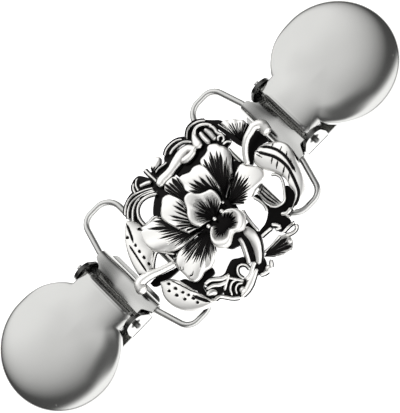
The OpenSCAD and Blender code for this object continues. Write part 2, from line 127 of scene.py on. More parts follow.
def spline(points: Way, count: int) -> np.ndarray:
    """Even points along a smooth way through the given ones.

    Args:
        points: points to pass through.
        count: number of points wanted.

    Returns:
        An array of shape (count, 3).
    """
    p = np.array(points, float)
    if len(p) == 1:
        return np.repeat(p, count, axis=0)
    q = np.vstack([2 * p[0] - p[1], p, 2 * p[-1] - p[-2]])
    steps_between = 24
    u = np.linspace(0.0, 1.0, steps_between, endpoint=False)[:, None]
    parts = []
    for a, b, c, d in zip(q, q[1:], q[2:], q[3:]):
        square, cube = 2 * a - 5 * b + 4 * c - d, 3 * b - a - 3 * c + d
        parts.append(0.5 * (2 * b + (c - a) * u + square * u**2 + cube * u**3))
    return evened(np.vstack(parts + [p[-1:]]), count)


def stations(count: int) -> np.ndarray:
    """Numbers from 0 to 1 that crowd together at both ends, where an edge is rounded.

    Args:
        count: number of even steps.

    Returns:
        The sorted numbers.
    """
    step = 1.0 / count
    near_edge = step * np.array([0.06, 0.22, 0.5])
    even = np.linspace(0.0, 1.0, count + 1)
    return np.sort(np.concatenate([even, near_edge, 1.0 - near_edge]))


# ---- meshes


@dataclass
class Shape:
    """A mesh in the making: points in millimetres, faces, and how dark each point is: tarnish on the casting,
    painted shade on the clips.
    """

    points: np.ndarray
    faces: list[tuple[int, ...]]
    tarnish_and_shade: np.ndarray

    @staticmethod
    def joined(shapes: Sequence["Shape"]) -> "Shape":
        """One shape that holds several.

        Args:
            shapes: the shapes to put together.

        Returns:
            The joined shape.
        """
        faces: list[tuple[int, ...]] = []
        start = 0
        for shape in shapes:
            faces += [tuple(i + start for i in face) for face in shape.faces]
            start += len(shape.points)
        return Shape(
            np.vstack([s.points for s in shapes]), faces, np.concatenate([s.tarnish_and_shade for s in shapes])
        )

    def mirrored(self, side: Side) -> "Shape":
        """The shape as drawn for the right, or its mirror image for the left.

        Args:
            side: the side it is wanted on.

        Returns:
            The shape on that side.
        """
        if side is Side.RIGHT:
            return self
        return Shape(self.points * np.array([-1.0, 1.0, 1.0]), [f[::-1] for f in self.faces], self.tarnish_and_shade)


def grid_faces(rows: int, columns: int, start: int = 0, wrap: bool = False) -> list[tuple[int, ...]]:
    """Quads over a grid of points.

    Args:
        rows: number of rows of points.
        columns: number of points in a row.
        start: index of the first point.
        wrap: whether the last column joins the first.

    Returns:
        The quads, counter-clockwise with rows along X and columns along Y.
    """
    faces = []
    last = columns if wrap else columns - 1
    for i in range(rows - 1):
        for j in range(last):
            k = (j + 1) % columns
            a, b = start + i * columns, start + (i + 1) * columns
            faces.append((a + j, b + j, b + k, a + k))
    return faces


def shell(top: np.ndarray, bottom: np.ndarray, tarnish_and_shade: np.ndarray, under: float = 0.7) -> Shape:
    """A closed sheet between two grids of points.

    Args:
        top: upper points, of shape (rows, columns, 3).
        bottom: lower points, of the same shape.
        tarnish_and_shade: tarnish or painted shade of the upper points, of shape (rows, columns).
        under: tarnish or painted shade of the lower points.

    Returns:
        The closed shape.
    """
    n, m, _ = top.shape
    layer = n * m
    faces = grid_faces(n, m)
    faces += [f[::-1] for f in grid_faces(n, m, layer)]
    rim = [(i, 0) for i in range(n - 1)] + [(n - 1, j) for j in range(m - 1)]
    rim += [(i, m - 1) for i in range(n - 1, 0, -1)] + [(0, j) for j in range(m - 1, 0, -1)]
    for (i, j), (k, h) in zip(rim, rim[1:] + rim[:1]):
        a, b = i * m + j, k * m + h
        faces.append((b, a, a + layer, b + layer))
    points = np.vstack([top.reshape(-1, 3), bottom.reshape(-1, 3)])
    return Shape(points, faces, np.concatenate([tarnish_and_shade.ravel(), np.full(layer, under)]))


def tube(rings: np.ndarray, tarnish_and_shade: np.ndarray, closed: bool = False) -> Shape:
    """A skin over rings of points.

    Args:
        rings: points of shape (rings, points in a ring, 3).
        tarnish_and_shade: tarnish or painted shade of the points of one ring, or of all of them.
        closed: whether the last ring joins the first.

    Returns:
        The shape, with flat ends unless it is closed.
    """
    n, k, _ = rings.shape
    if closed:
        rings = np.vstack([rings, rings[:1]])
    faces = grid_faces(len(rings), k, wrap=True)
    if closed:
        faces = [tuple(i % (n * k) for i in f) for f in faces]
    else:
        faces += [tuple(range(k)), tuple(range(n * k - 1, (n - 1) * k - 1, -1))]
    spread = np.broadcast_to(tarnish_and_shade, (n, k)).ravel()
    return Shape(rings[:n].reshape(-1, 3), faces, spread.copy())


def lathe(profile: Sequence[tuple[float, float]], sides: int = 32) -> Shape:
    """A turned shape about Z.

    Args:
        profile: radius and height of each ring, from one end to the other.
        sides: number of sides.

    Returns:
        The closed shape.
    """
    turn = np.linspace(0.0, 2 * np.pi, sides, endpoint=False)
    rings = np.array([[(r * math.cos(a), r * math.sin(a), z) for a in turn] for r, z in profile])
    return tube(rings, np.zeros(sides))


def ball(centre: Point, radius: float, sides: int = 24) -> Shape:
    """A round bead.

    Args:
        centre: its centre.
        radius: its radius.
        sides: number of sides round it.

    Returns:
        The bead.
    """
    rise = np.linspace(-np.pi / 2 + 0.06, np.pi / 2 - 0.06, sides // 2 + 1)
    bead = lathe([(radius * math.cos(a), radius * math.sin(a)) for a in rise], sides)
    bead.points = bead.points + np.array(centre)
    return bead


def plate(outline: np.ndarray, low: float, high: float, tarnish_and_shade: float = 0.0) -> Shape:
    """A flat plate with an outline in XY.

    Args:
        outline: points of shape (n, 2), counter-clockwise.
        low: height of the underside.
        high: height of the top.
        tarnish_and_shade: tarnish or painted shade of the whole plate.

    Returns:
        The plate.
    """
    n = len(outline)
    points = np.vstack([np.c_[outline, np.full(n, high)], np.c_[outline, np.full(n, low)]])
    faces: list[tuple[int, ...]] = [tuple(range(n)), tuple(range(2 * n - 1, n - 1, -1))]
    faces += [(i, i + n, (i + 1) % n + n, (i + 1) % n) for i in range(n)]
    return Shape(points, faces, np.full(2 * n, tarnish_and_shade))


def upright(shape: Shape, y: float) -> Shape:
    """Stands a shape that was drawn in XY up in XZ.

    Args:
        shape: the shape, whose height turns into minus Y.
        y: where its zero height goes.

    Returns:
        The shape on edge.
    """
    x, along, up = shape.points.T
    return Shape(np.stack([x, y - up, along], axis=1), shape.faces, shape.tarnish_and_shade)


@dataclass(frozen=True)
class Edge:
    """How the edges of a pressed piece are eased, in millimetres."""

    width: float = 0.12
    segments: int = 3


def make_piece(
    name: str, shape: Shape, body: str, material: bpy.types.Material, edge: Edge | None = None
) -> bpy.types.Object:
    """Turns a shape into an object that rides on a CAD body.

    Args:
        name: name of the piece.
        shape: its mesh in millimetres, with Y from the clips' centre line.
        body: CAD body that it moves with.
        material: its material.
        edge: how its sharp edges are eased, if they are.

    Returns:
        The object.
    """
    mesh = bpy.data.meshes.new(name)
    points = (shape.points + np.array([0.0, AXIS_Y, 0.0])) * MM
    mesh.from_pydata(points.tolist(), [], shape.faces)
    mesh.validate()
    mesh.update()
    values = mesh.attributes.new(TARNISH_AND_SHADE, "FLOAT", "POINT")
    values.data.foreach_set("value", shape.tarnish_and_shade.astype(np.float32))
    mesh.polygons.foreach_set("use_smooth", [True] * len(mesh.polygons))
    mesh.set_sharp_from_angle(angle=SHARP)
    mesh.materials.append(material)
    piece = bpy.data.objects.new(name, mesh)
    bpy.context.scene.collection.objects.link(piece)
    if edge:
        bevel = piece.modifiers.new("eased_edges", "BEVEL")
        bevel.width = edge.width * MM
        bevel.segments = edge.segments
        bevel.limit_method = "ANGLE"
        bevel.angle_limit = SHARP
        bevel.harden_normals = True
    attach(piece, body)
    LOG.info("%s: %d faces on body %s", name, len(mesh.polygons), body)
    return piece


# ---- materials


# Sockets that go by number: a map range's limits, and what a mix of colours or values takes and gives
FROM_MIN, FROM_MAX, TO_MIN, TO_MAX = 1, 2, 3, 4
VALUE_A, VALUE_B, COLOUR_A, COLOUR_B, MIXED_COLOUR = 2, 3, 6, 7, 2


def linear(colour: str) -> tuple[float, float, float, float]:
    """Turns an sRGB hex colour into the linear colour that a shader takes.

    Args:
        colour: six hex digits.

    Returns:
        Red, green, blue and an alpha of 1.
    """
    parts = [int(colour[i : i + 2], 16) / 255 for i in (0, 2, 4)]
    red, green, blue = (c / 12.92 if c <= 0.04045 else ((c + 0.055) / 1.055) ** 2.4 for c in parts)
    return red, green, blue, 1.0


def add_node(
    tree: bpy.types.NodeTree, kind: str, inputs: dict[Any, Any] | None = None, **settings: Any
) -> bpy.types.Node:
    """Adds a node with its settings and links.

    Args:
        tree: tree that it goes into.
        kind: Blender's name for the node, without the ShaderNode at its start.
        inputs: a value or an output socket for each input, by name or number.
        **settings: the node's own properties.

    Returns:
        The node.
    """
    node = tree.nodes.new("ShaderNode" + kind)
    for key, value in settings.items():
        setattr(node, key, value)
    for key, value in (inputs or {}).items():
        if isinstance(value, bpy.types.NodeSocket):
            tree.links.new(value, node.inputs[key])
        else:
            node.inputs[key].default_value = value
    return node


def new_material(name: str) -> tuple[bpy.types.Material, bpy.types.NodeTree]:
    """A material with an empty node tree.

    Args:
        name: its name.

    Returns:
        The material and its tree.
    """
    material = bpy.data.materials.new(name)
    material.use_nodes = True
    material.node_tree.nodes.clear()
    return material, material.node_tree


@dataclass(frozen=True)
class NickelPlate:
    """Nickel-plated steel: a warm light grey metal whose grain sets how far it blurs the studio."""

    name: str
    colour: str
    dull_colour: str
    roughness: float
    # Colour of the painted shade that the attribute lays on the clips' parts
    painted_shade: str = "2A2A29"
    # Share by which the clouds raise and lower the roughness
    uneven: float = 0.12
    # Size of the plating's clouds and of its grain, in mm, and how deep the grain is
    cloud_mm: float = 9.0
    grain_mm: float = 0.30
    grain_depth_mm: float = 0.0011
    # Stretch of the grain along X, above 1 for rolled or drawn metal
    stretch: float = 1.0

    def material(self) -> bpy.types.Material:
        """Builds the material.

        Returns:
            The material, with clouded colour, painted shade from the attribute, uneven gloss and fine grain.
        """
        material, tree = new_material(self.name)
        place = add_node(tree, "TexCoord").outputs["Object"]
        clouds = add_node(
            tree, "TexNoise", {"Vector": place, "Scale": 1 / (self.cloud_mm * MM), "Detail": 3.0}
        ).outputs["Fac"]
        along = add_node(tree, "Mapping", {"Vector": place, "Scale": (1 / self.stretch, 1.0, 1.0)})
        grain = add_node(
            tree, "TexNoise", {"Vector": along.outputs[0], "Scale": 1 / (self.grain_mm * MM), "Detail": 4.0}
        ).outputs["Fac"]
        # Painted shade from the attribute: on the ears' rims, in the pressed rings and bores, on the pin's
        # end and on the face's skirt by the neck
        painted_shade = add_node(tree, "Attribute", attribute_name=TARNISH_AND_SHADE).outputs["Fac"]
        colour: Any = linear(self.dull_colour)
        for share, other in ((clouds, self.colour), (painted_shade, self.painted_shade)):
            mix = {"Factor": share, COLOUR_A: colour, COLOUR_B: linear(other)}
            colour = add_node(tree, "Mix", mix, data_type="RGBA").outputs[MIXED_COLOUR]
        low, high = self.roughness * (1.0 - self.uneven), self.roughness * (1.0 + self.uneven)
        gloss = add_node(tree, "MapRange", {"Value": clouds, TO_MIN: low, TO_MAX: high})
        bump = add_node(
            tree, "Bump", {"Strength": 0.5, "Distance": self.grain_depth_mm * MM, "Height": grain}
        )
        surface = {"Base Color": colour, "Metallic": 1.0, "Roughness": gloss.outputs[0]}
        metal = add_node(tree, "BsdfPrincipled", surface | {"Normal": bump.outputs[0]})
        add_node(tree, "OutputMaterial", {"Surface": metal.outputs[0]})
        return material


@dataclass(frozen=True)
class AntiqueSilver:
    """Silver plate over a zinc casting, blackened and buffed back: the high points flash white, and
    the black sulphide stays in every groove and corner."""

    name: str = "antique_silver_plate_oxidised_and_buffed"
    silver: str = "F4F3F0"
    sulphide: str = "1B1A1A"
    silver_roughness: float = 0.42
    sulphide_roughness: float = 0.42
    # Width of the black that is left in a corner, how open a point is where the black is full and
    # where it ends, and how black a corner gets
    corner_mm: float = 0.9
    corner_open: Range = (0.25, 0.62)
    corner_black: float = 0.9
    # Size of the specks that break the black's edge and depth of their pits, in mm, and how far they
    # shift the edge
    speck_mm: float = 0.22
    pit_mm: float = 0.012
    speck_shift: float = 0.14
    # Sum of tarnish and specks where the black starts and where it is full
    black_from: Range = (0.28, 0.68)

    def material(self) -> bpy.types.Material:
        """Builds the material.

        Returns:
            The material, blackened by the tarnish_and_shade attribute and by how closed in each point is.
        """
        material, tree = new_material(self.name)
        place = add_node(tree, "TexCoord").outputs["Object"]
        painted = add_node(tree, "Attribute", attribute_name=TARNISH_AND_SHADE).outputs["Fac"]
        open_to_buff = add_node(
            tree, "AmbientOcclusion", {"Distance": self.corner_mm * MM}, samples=8
        ).outputs["AO"]
        shut, wide = self.corner_open
        corner = add_node(
            tree,
            "MapRange",
            {"Value": open_to_buff, FROM_MIN: shut, FROM_MAX: wide, TO_MIN: self.corner_black, TO_MAX: 0.0},
        ).outputs[0]
        specks = add_node(
            tree, "TexNoise", {"Vector": place, "Scale": 1 / (self.speck_mm * MM), "Detail": 3.0}
        ).outputs["Fac"]
        broken = add_node(
            tree, "MapRange", {"Value": specks, TO_MIN: -self.speck_shift, TO_MAX: self.speck_shift}
        ).outputs[0]
        either = add_node(tree, "Math", {0: painted, 1: corner}, operation="MAXIMUM").outputs[0]
        rough_edge = add_node(tree, "Math", {0: either, 1: broken}, operation="ADD").outputs[0]
        starts, full = self.black_from
        black = add_node(
            tree,
            "MapRange",
            {"Value": rough_edge, FROM_MIN: starts, FROM_MAX: full},
            interpolation_type="SMOOTHSTEP",
        ).outputs[0]
        mix = {"Factor": black, COLOUR_A: linear(self.silver), COLOUR_B: linear(self.sulphide)}
        colour = add_node(tree, "Mix", mix, data_type="RGBA").outputs[MIXED_COLOUR]
        gloss = add_node(
            tree,
            "MapRange",
            {"Value": black, TO_MIN: self.silver_roughness, TO_MAX: self.sulphide_roughness},
        )
        bump = add_node(tree, "Bump", {"Strength": 0.35, "Distance": self.pit_mm * MM, "Height": specks})
        surface = {"Base Color": colour, "Metallic": 1.0, "Roughness": gloss.outputs[0]}
        metal = add_node(tree, "BsdfPrincipled", surface | {"Normal": bump.outputs[0]})
        add_node(tree, "OutputMaterial", {"Surface": metal.outputs[0]})
        return material


# ---- clips


@dataclass(frozen=True)
class ClipSizes:
    """Sizes that the pieces of a clip share, drawn for the right side."""

    pivot_x: float = 25.7
    pivot_z: float = 5.4
    barrel_x: float = 20.9
    wire_z: float = 2.4
    wire_r: float = 0.72
    pin_r: float = 0.6
    jaw_half: float = 8.0
    ear_t: float = 0.8


@dataclass(frozen=True)
class ClipFace:
    """The round domed face with the neck that folds down over the pin."""

    sizes: ClipSizes
    radius: float = 13.0
    reach: float = 14.0
    height: float = 6.3
    tilt: float = 4.5
    dome: float = 2.6
    skirt_top: float = -1.2
    skirt_low: float = -1.5
    neck_half: float = 7.0
    neck_flat: float = 0.45
    shoulder: float = 0.34
    neck_back: float = -14.4
    neck_front: float = -4.5
    neck_drop: float = 1.3
    lip: float = 0.2
    flange_low: float = 3.9
    sheet: float = 0.5
    # Painted shade on the skirt and its foot toward the neck
    flange_painted_shade: float = 0.8
    # Along X from the disc's centre: where the round-off widens, where the flat toward the neck ends,
    # where the shoulders come in and go out again, and where the flange's painted shade ends
    widen_x: Range = (-11.0, -2.0)
    flat_x: Range = (-8.0, 0.0)
    shoulder_in_x: Range = (-10.8, -7.2)
    shoulder_out_x: Range = (-6.0, 2.0)
    painted_shade_x: Range = (-11.0, -8.8)
    # How square the dome's edge is: 2 makes it a circle's arc
    squareness: float = 2.8
    # Share of the way to the rim over which the shoulders fall
    shoulder_edge: Range = (0.6, 0.92)
    # The rolled lip: distance from the neck's end, width, and distance to each side where it ends
    lip_in: float = 0.3
    lip_width: float = 0.28
    lip_side: Range = (4.8, 5.6)

    def outline(self) -> tuple[np.ndarray, np.ndarray]:
        """Rim of the face seen from above, about the disc's centre.

        Returns:
            The rim's points, and for each the height that its skirt reaches down to in the CAD frame,
            or NaN where the sheet just ends.
        """
        meet = math.asin(self.neck_half / self.radius)
        arc = np.linspace(-(math.pi - meet), math.pi - meet, 121)
        disc = np.c_[self.radius * np.cos(arc), self.radius * np.sin(arc)]
        join_x = disc[-1, 0]
        side_x = np.linspace(join_x, self.neck_back, 15)[1:]
        end_y = np.linspace(self.neck_half, -self.neck_half, 29)
        slope = math.sin(math.radians(self.tilt))
        rim = np.vstack(
            [
                disc,
                np.c_[side_x, np.full(len(side_x), self.neck_half)],
                np.c_[np.full(len(end_y), self.neck_back), end_y],
                np.c_[side_x[::-1], np.full(len(side_x), -self.neck_half)],
            ]
        )
        disc_low = self.height + self.skirt_low - disc[:, 0] * slope
        world_x = self.sizes.pivot_x + self.reach + side_x
        flange = np.interp(
            world_x,
            [self.sizes.pivot_x + 1.5, self.sizes.pivot_x + 2.4, self.sizes.pivot_x + 3.4],
            [self.flange_low, self.flange_low + 0.9, disc_low[-1]],
        )
        low = np.concatenate([disc_low, flange, np.full(len(end_y), np.nan), flange[::-1]])
        return rim, low

    def top(self, x: np.ndarray, y: np.ndarray) -> np.ndarray:
        """Height of the outside of the sheet in the CAD frame.

        Args:
            x: distance from the disc's centre along the clip.
            y: distance from the centre line.

        Returns:
            The heights.
        """
        aside = np.abs(y)
        join_x = -math.sqrt(self.radius**2 - self.neck_half**2)
        in_mouth = (x < 0) & (aside * -join_x < self.neck_half * -x)
        to_rim = self.radius - np.hypot(x, y)
        to_rim = np.where(in_mouth, np.hypot(x - join_x, self.neck_half - aside), to_rim)
        to_rim = np.where(x < join_x, self.neck_half - aside, to_rim)
        half = self.neck_half + (self.radius - self.neck_half) * smoothstep(*self.widen_x, x)
        round_off = np.sqrt(1.0 - (1.0 - np.clip(to_rim / half, 0, 1)) ** self.squareness)
        # Toward the neck the sheet was pressed flatter, and its edge stands higher
        fall = (1.0 - round_off) * (self.neck_flat + (1.0 - self.neck_flat) * smoothstep(*self.flat_x, x))
        # Beside the neck the edge starts to fall off sooner
        beside = smoothstep(*self.shoulder_in_x, x) * (1.0 - smoothstep(*self.shoulder_out_x, x))
        outward = smoothstep(*self.shoulder_edge, 1.0 - to_rim / half)
        fall = fall + self.shoulder / self.dome * beside * outward
        slope = math.sin(math.radians(self.tilt))
        along_neck = (self.neck_front - x) / (self.neck_front - self.neck_back)
        drop = self.neck_drop * np.clip(along_neck, 0, 1) ** 2
        rolled = self.lip * np.exp(-(((x - self.neck_back - self.lip_in) / self.lip_width) ** 2))
        rolled = rolled * (1.0 - smoothstep(*self.lip_side, np.abs(y)))
        return self.height + self.skirt_top + self.dome * (1.0 - fall) - x * slope - drop + rolled

    def shape(self) -> Shape:
        """Builds the pressed sheet: the outside, its skirt and the hollow inside.

        Returns:
            The shape for the right side.
        """
        rim, low = self.outline()
        ring = np.sin(np.linspace(0.0, np.pi / 2, 34))[1:]
        reach = np.linalg.norm(rim, axis=1, keepdims=True)
        inner = rim * (1.0 - self.sheet / reach)
        at_end = np.isnan(low)
        inner[at_end] = rim[at_end] * np.array([1.0, 1.0 - self.sheet / self.neck_half])
        columns = []
        for i in range(len(rim)):
            out_xy = np.outer(ring, rim[i])
            out_z = self.top(out_xy[:, 0], out_xy[:, 1])
            in_xy = np.outer(ring[::-1], inner[i])
            in_z = self.top(in_xy[:, 0], in_xy[:, 1]) - self.sheet
            if at_end[i]:
                foot = np.array([[*rim[i], out_z[-1] - self.sheet]] * 6)
            else:
                outer_z = np.linspace(out_z[-1], low[i], 4)[1:]
                inner_z = np.linspace(low[i], in_z[0], 4)[:-1]
                foot = np.vstack(
                    [np.c_[np.tile(rim[i], (3, 1)), outer_z], np.c_[np.tile(inner[i], (3, 1)), inner_z]]
                )
            columns.append(np.vstack([np.c_[out_xy, out_z], foot, np.c_[in_xy, in_z]]))
        rings = np.transpose(np.array(columns), (1, 0, 2))
        rings = rings + np.array([self.sizes.pivot_x + self.reach, 0.0, 0.0])
        # Painted shade: the skirt and its foot are darkened toward the neck
        painted_shade = np.zeros(rings.shape[:2])
        # Its first rows of points below the outside are the skirt and its foot
        toward_neck = 1.0 - smoothstep(*self.painted_shade_x, rim[:, 0])
        painted_shade[len(ring) : len(ring) + 4] = self.flange_painted_shade * toward_neck
        return tube(rings[::-1], painted_shade[::-1])


@dataclass(frozen=True)
class LeverPlate:
    """The lever: a plate rolled round the wire at one end, with two ears on the pin."""

    sizes: ClipSizes
    half: float = 6.2
    barrel_half: float = 8.2
    barrel_r: float = 1.35
    sheet: float = 0.55
    end: float = 1.5
    dish: float = 0.6
    curl: float = 0.75
    dip: float = 0.8
    lug_r: float = 1.05
    lug_t: float = 0.6
    lug_stem: float = 0.6
    # Along X in the CAD frame: where the plate widens to the barrel, where the curl fades and where
    # the plate dips under the neck
    widen_x: Range = (21.7, 23.1)
    curl_x: Range = (23.2, 24.2)
    dip_x: Range = (24.2, 24.9)
    # Distance from the barrel's axis over which the dish deepens, and share of the width where the
    # curl starts
    dish_run: float = 4.4
    curl_from: float = 0.15
    # How far the sheet is rolled round the wire, and the arc of an ear, in degrees
    roll_deg: float = 305.0
    lug_arc: Range = (-20.0, 230.0)

    def shape(self) -> Shape:
        """Builds the rolled plate and its ears.

        Returns:
            The shape for the right side.
        """
        s = self.sizes
        top_z = s.wire_z + self.barrel_r
        run = np.linspace(s.pivot_x + self.end, s.barrel_x, 22)
        roll = np.radians(np.linspace(90.0, 90.0 + self.roll_deg, 44))[1:]
        path = np.vstack(
            [
                np.c_[run, np.full(len(run), top_z)],
                np.c_[s.barrel_x + self.barrel_r * np.cos(roll), s.wire_z + self.barrel_r * np.sin(roll)],
            ]
        )
        bore = self.barrel_r - self.sheet
        inside = np.vstack(
            [
                np.c_[run, np.full(len(run), top_z - self.sheet)],
                np.c_[s.barrel_x + bore * np.cos(roll), s.wire_z + bore * np.sin(roll)],
            ]
        )
        widen = 1.0 - smoothstep(*self.widen_x, path[:, 0])
        widen[len(run) :] = 1.0
        half = self.half + (self.barrel_half - self.half) * widen
        across = np.linspace(-1.0, 1.0, 33)
        y = half[:, None] * across[None, :]
        deepen = smoothstep(s.barrel_x, s.barrel_x + self.dish_run, path[:, 0])[:, None]
        bowl = self.dish * (1.0 - across**2) * deepen
        bowl[len(run) :] = 0.0
        # Its +Y end curls up a little, which turns it to the dark side of the studio
        upper = np.clip((path[:, 1:] - s.wire_z) / self.barrel_r, 0.0, 1.0)
        upper = upper * (1.0 - smoothstep(*self.curl_x, path[:, :1]))
        bowl = bowl - self.curl * smoothstep(self.curl_from, 1.0, across)[None, :] * upper
        # Where the plate goes under the neck it dips out of the light
        bowl = bowl + self.dip * smoothstep(*self.dip_x, path[:, :1])
        outer = np.stack([np.broadcast_to(path[:, :1], y.shape), y, path[:, 1:] - bowl], axis=2)
        inner = np.stack([np.broadcast_to(inside[:, :1], y.shape), y, inside[:, 1:] - bowl], axis=2)
        sheet = shell(outer[::-1], inner[::-1], np.zeros(y.shape), under=0.0)
        # Round past the middle at the back, which leaves room for the neck when the clip is open
        turn = np.radians(np.linspace(*self.lug_arc, 28))
        lug = np.c_[s.pivot_x + self.lug_r * np.cos(turn), s.pivot_z + self.lug_r * np.sin(turn)]
        foot_z = top_z - self.sheet
        lug = np.vstack([lug, [[s.pivot_x - self.lug_stem, foot_z], [s.pivot_x + self.end, foot_z]]])
        ears = [
            upright(plate(lug, 0.0, self.lug_t), y0) for y0 in (self.half, -self.half + self.lug_t)
        ]
        return Shape.joined([sheet, *ears])


@dataclass(frozen=True)
class BackJaw:
    """The folded back plate: its flat back, its tail, two ears for the pin and a gripping lip."""

    sizes: ClipSizes
    sheet: float = 0.7
    tail_end: float = 18.8
    body_start: float = 22.6
    tail_half: float = 7.15
    tail_corner: float = 1.4
    lip_x: float = 47.9
    lip_top: float = 5.7
    ear_r: float = 2.3
    ring_r: float = 1.1
    ring_depth: float = 0.3
    # Painted shade on the ears' rims, for the shadow in the gap between the face's skirt and the ear
    rim_painted_shade: float = 0.85

    def back(self) -> Shape:
        """Flat back with the narrower tail.

        Returns:
            The plate.
        """
        quarter = np.linspace(0.0, np.pi / 2, 9)
        corner = self.tail_corner
        cx, cy = self.tail_end + corner, self.tail_half - corner
        upper = np.c_[cx - corner * np.sin(quarter), cy + corner * np.cos(quarter)]
        tail = np.vstack([upper, upper[::-1] * np.array([1.0, -1.0])])
        end = self.lip_x + self.sheet
        half = self.sizes.jaw_half
        body = np.array(
            [
                [self.body_start, -self.tail_half],
                [self.body_start, -half],
                [end, -half],
                [end, half],
                [self.body_start, half],
                [self.body_start, self.tail_half],
            ]
        )
        return plate(np.vstack([tail, body]), 0.0, self.sheet)

    def lip(self) -> Shape:
        """Gripping lip at the tip.

        Returns:
            The upright plate.
        """
        half = self.sizes.jaw_half
        end = self.lip_x + self.sheet
        outline = np.array([[self.lip_x, -half], [end, -half], [end, half], [self.lip_x, half]])
        return plate(outline, 0.1, self.lip_top)

    def ear(self, hand: int) -> Shape:
        """An ear with its pin hole and the pressed ring round it, with painted shade on its rim, in the ring
        and in the bore.

        Args:
            hand: 1 for the ear at +Y, -1 for the one at -Y.

        Returns:
            The ear.
        """
        s = self.sizes
        turn = np.linspace(0.0, 2 * np.pi, 72, endpoint=False)
        foot = np.array(
            [[-3.1, -s.pivot_z], [2.8, -s.pivot_z], [2.8, -2.2], [2.2, 0.6], [-2.2, 0.6], [-3.1, -2.2]]
        )
        edge = []
        for a in turn:
            way = np.array([math.cos(a), math.sin(a)])
            far = self.ear_r
            for p, q in zip(foot, np.roll(foot, -1, axis=0)):
                cut = np.linalg.det([q - p, way])
                if abs(cut) > 1e-9:
                    out = np.linalg.det([q - p, p]) / cut
                    along = np.dot(way * out - p, q - p) / np.dot(q - p, q - p)
                    if out > 0 and -1e-6 <= along <= 1 + 1e-6:
                        far = max(far, out)
            edge.append(way * far)
        rim = np.array(edge)
        round_way = np.c_[np.cos(turn), np.sin(turn)]
        face_y, back_y = s.jaw_half, s.jaw_half - s.ear_t
        bore = s.pin_r + 0.04
        # Outline, distance from the centre line and painted shade of each ring of points
        stack = [
            (rim * 0.5, back_y, 0.0),
            (rim, back_y, self.rim_painted_shade),
            (rim, face_y, self.rim_painted_shade),
            (rim * 0.95, face_y, 0.0),
            (rim * 0.6, face_y, 0.0),
            (round_way * (self.ring_r + 0.12), face_y, 0.0),
            (round_way * self.ring_r, face_y, 0.9),
            (round_way * bore, face_y - self.ring_depth, 1.0),
            (round_way * bore, back_y, 1.0),
        ]
        flat = np.ones(len(turn))
        rings = np.array(
            [np.c_[p[:, 0] + s.pivot_x, hand * y * flat, p[:, 1] + s.pivot_z] for p, y, _ in stack]
        )
        ring_dark = np.repeat([[painted_shade] for _, _, painted_shade in stack], len(turn), axis=1)
        if hand < 0:
            rings, ring_dark = rings[::-1], ring_dark[::-1]
        return tube(rings, ring_dark, closed=True)

    def shape(self) -> Shape:
        """Builds the whole jaw.

        Returns:
            The shape for the right side.
        """
        return Shape.joined([self.back(), self.lip(), self.ear(1), self.ear(-1)])


@dataclass(frozen=True)
class PivotPin:
    """The riveted pin."""

    sizes: ClipSizes
    length: float = 18.2
    chamfer: float = 0.2

    def shape(self) -> Shape:
        """Builds the pin along Y.

        Returns:
            The shape for the right side.
        """
        s, half = self.sizes, self.length / 2
        tip = s.pin_r - self.chamfer
        ends = [(0.05, half), (tip * 0.7, half), (tip, half - 0.03), (s.pin_r, half - self.chamfer)]
        profile = [(r, -z) for r, z in ends] + ends[::-1]
        pin = upright(lathe(profile, 32), 0.0)
        # Painted shade on the pin's end at -Y, where it stands out of the ear
        pin.tarnish_and_shade = 0.7 * smoothstep(s.jaw_half - 0.2, s.jaw_half + 0.3, -pin.points[:, 1])
        pin.points = pin.points + np.array([s.pivot_x, 0.0, s.pivot_z])
        return pin


@dataclass(frozen=True)
class WireLoop:
    """The closed loop of bright wire between the casting and the lever."""

    sizes: ClipSizes
    half: float = 16.0
    inner_x: float = 11.4
    barrel_half: float = 8.7
    shoulder: float = 2.1
    # Points along a bend, round the loop and round the wire
    bend_points: int = 14
    loop_points: int = 260
    sides: int = 20

    def corners(self) -> list[Point]:
        """Corners of the loop.

        Returns:
            X, y and bend radius of each corner, in order round the loop.
        """
        s = self.sizes
        near, far = self.inner_x, s.barrel_x
        return [
            (far, self.barrel_half, 2.4),
            (far - self.shoulder, self.half, 2.9),
            (near, self.half, 3.4),
            (near, -self.half, 3.4),
            (far - self.shoulder, -self.half, 2.9),
            (far, -self.barrel_half, 2.4),
        ]

    def centre_line(self) -> np.ndarray:
        """Even points round the loop with straight stretches and round bends.

        Returns:
            An array of shape (n, 2).
        """
        corners = np.array(self.corners())
        n = len(corners)
        parts = []
        for i in range(n):
            here, radius = corners[i, :2], corners[i, 2]
            back = corners[i - 1, :2] - here
            ahead = corners[(i + 1) % n, :2] - here
            back, ahead = back / np.linalg.norm(back), ahead / np.linalg.norm(ahead)
            opening = math.acos(float(np.clip(np.dot(back, ahead), -1, 1)))
            setback = radius / math.tan(opening / 2)
            middle = (back + ahead) / np.linalg.norm(back + ahead)
            hub = here + middle * radius / math.sin(opening / 2)
            start, stop = here + back * setback - hub, here + ahead * setback - hub
            a0, a1 = math.atan2(start[1], start[0]), math.atan2(stop[1], stop[0])
            sweep = (a1 - a0 + math.pi) % (2 * math.pi) - math.pi
            turn = a0 + np.linspace(0.0, sweep, self.bend_points)
            parts.append(hub + radius * np.c_[np.cos(turn), np.sin(turn)])
        return evened(np.vstack(parts + [parts[0][:1]]), self.loop_points + 1)[:-1]

    def shape(self) -> Shape:
        """Sweeps the wire round the loop.

        Returns:
            The shape for the right side.
        """
        line = self.centre_line()
        way = np.roll(line, -1, axis=0) - np.roll(line, 1, axis=0)
        way /= np.linalg.norm(way, axis=1, keepdims=True)
        side = np.c_[-way[:, 1], way[:, 0]]
        turn = np.linspace(0.0, 2 * np.pi, self.sides, endpoint=False)
        r = self.sizes.wire_r
        flat = line[:, None, :] + r * np.cos(turn)[None, :, None] * side[:, None, :]
        up = np.broadcast_to(self.sizes.wire_z + r * np.sin(turn), flat.shape[:2])
        return tube(np.concatenate([flat, up[:, :, None]], axis=2), np.zeros(self.sides), closed=True)


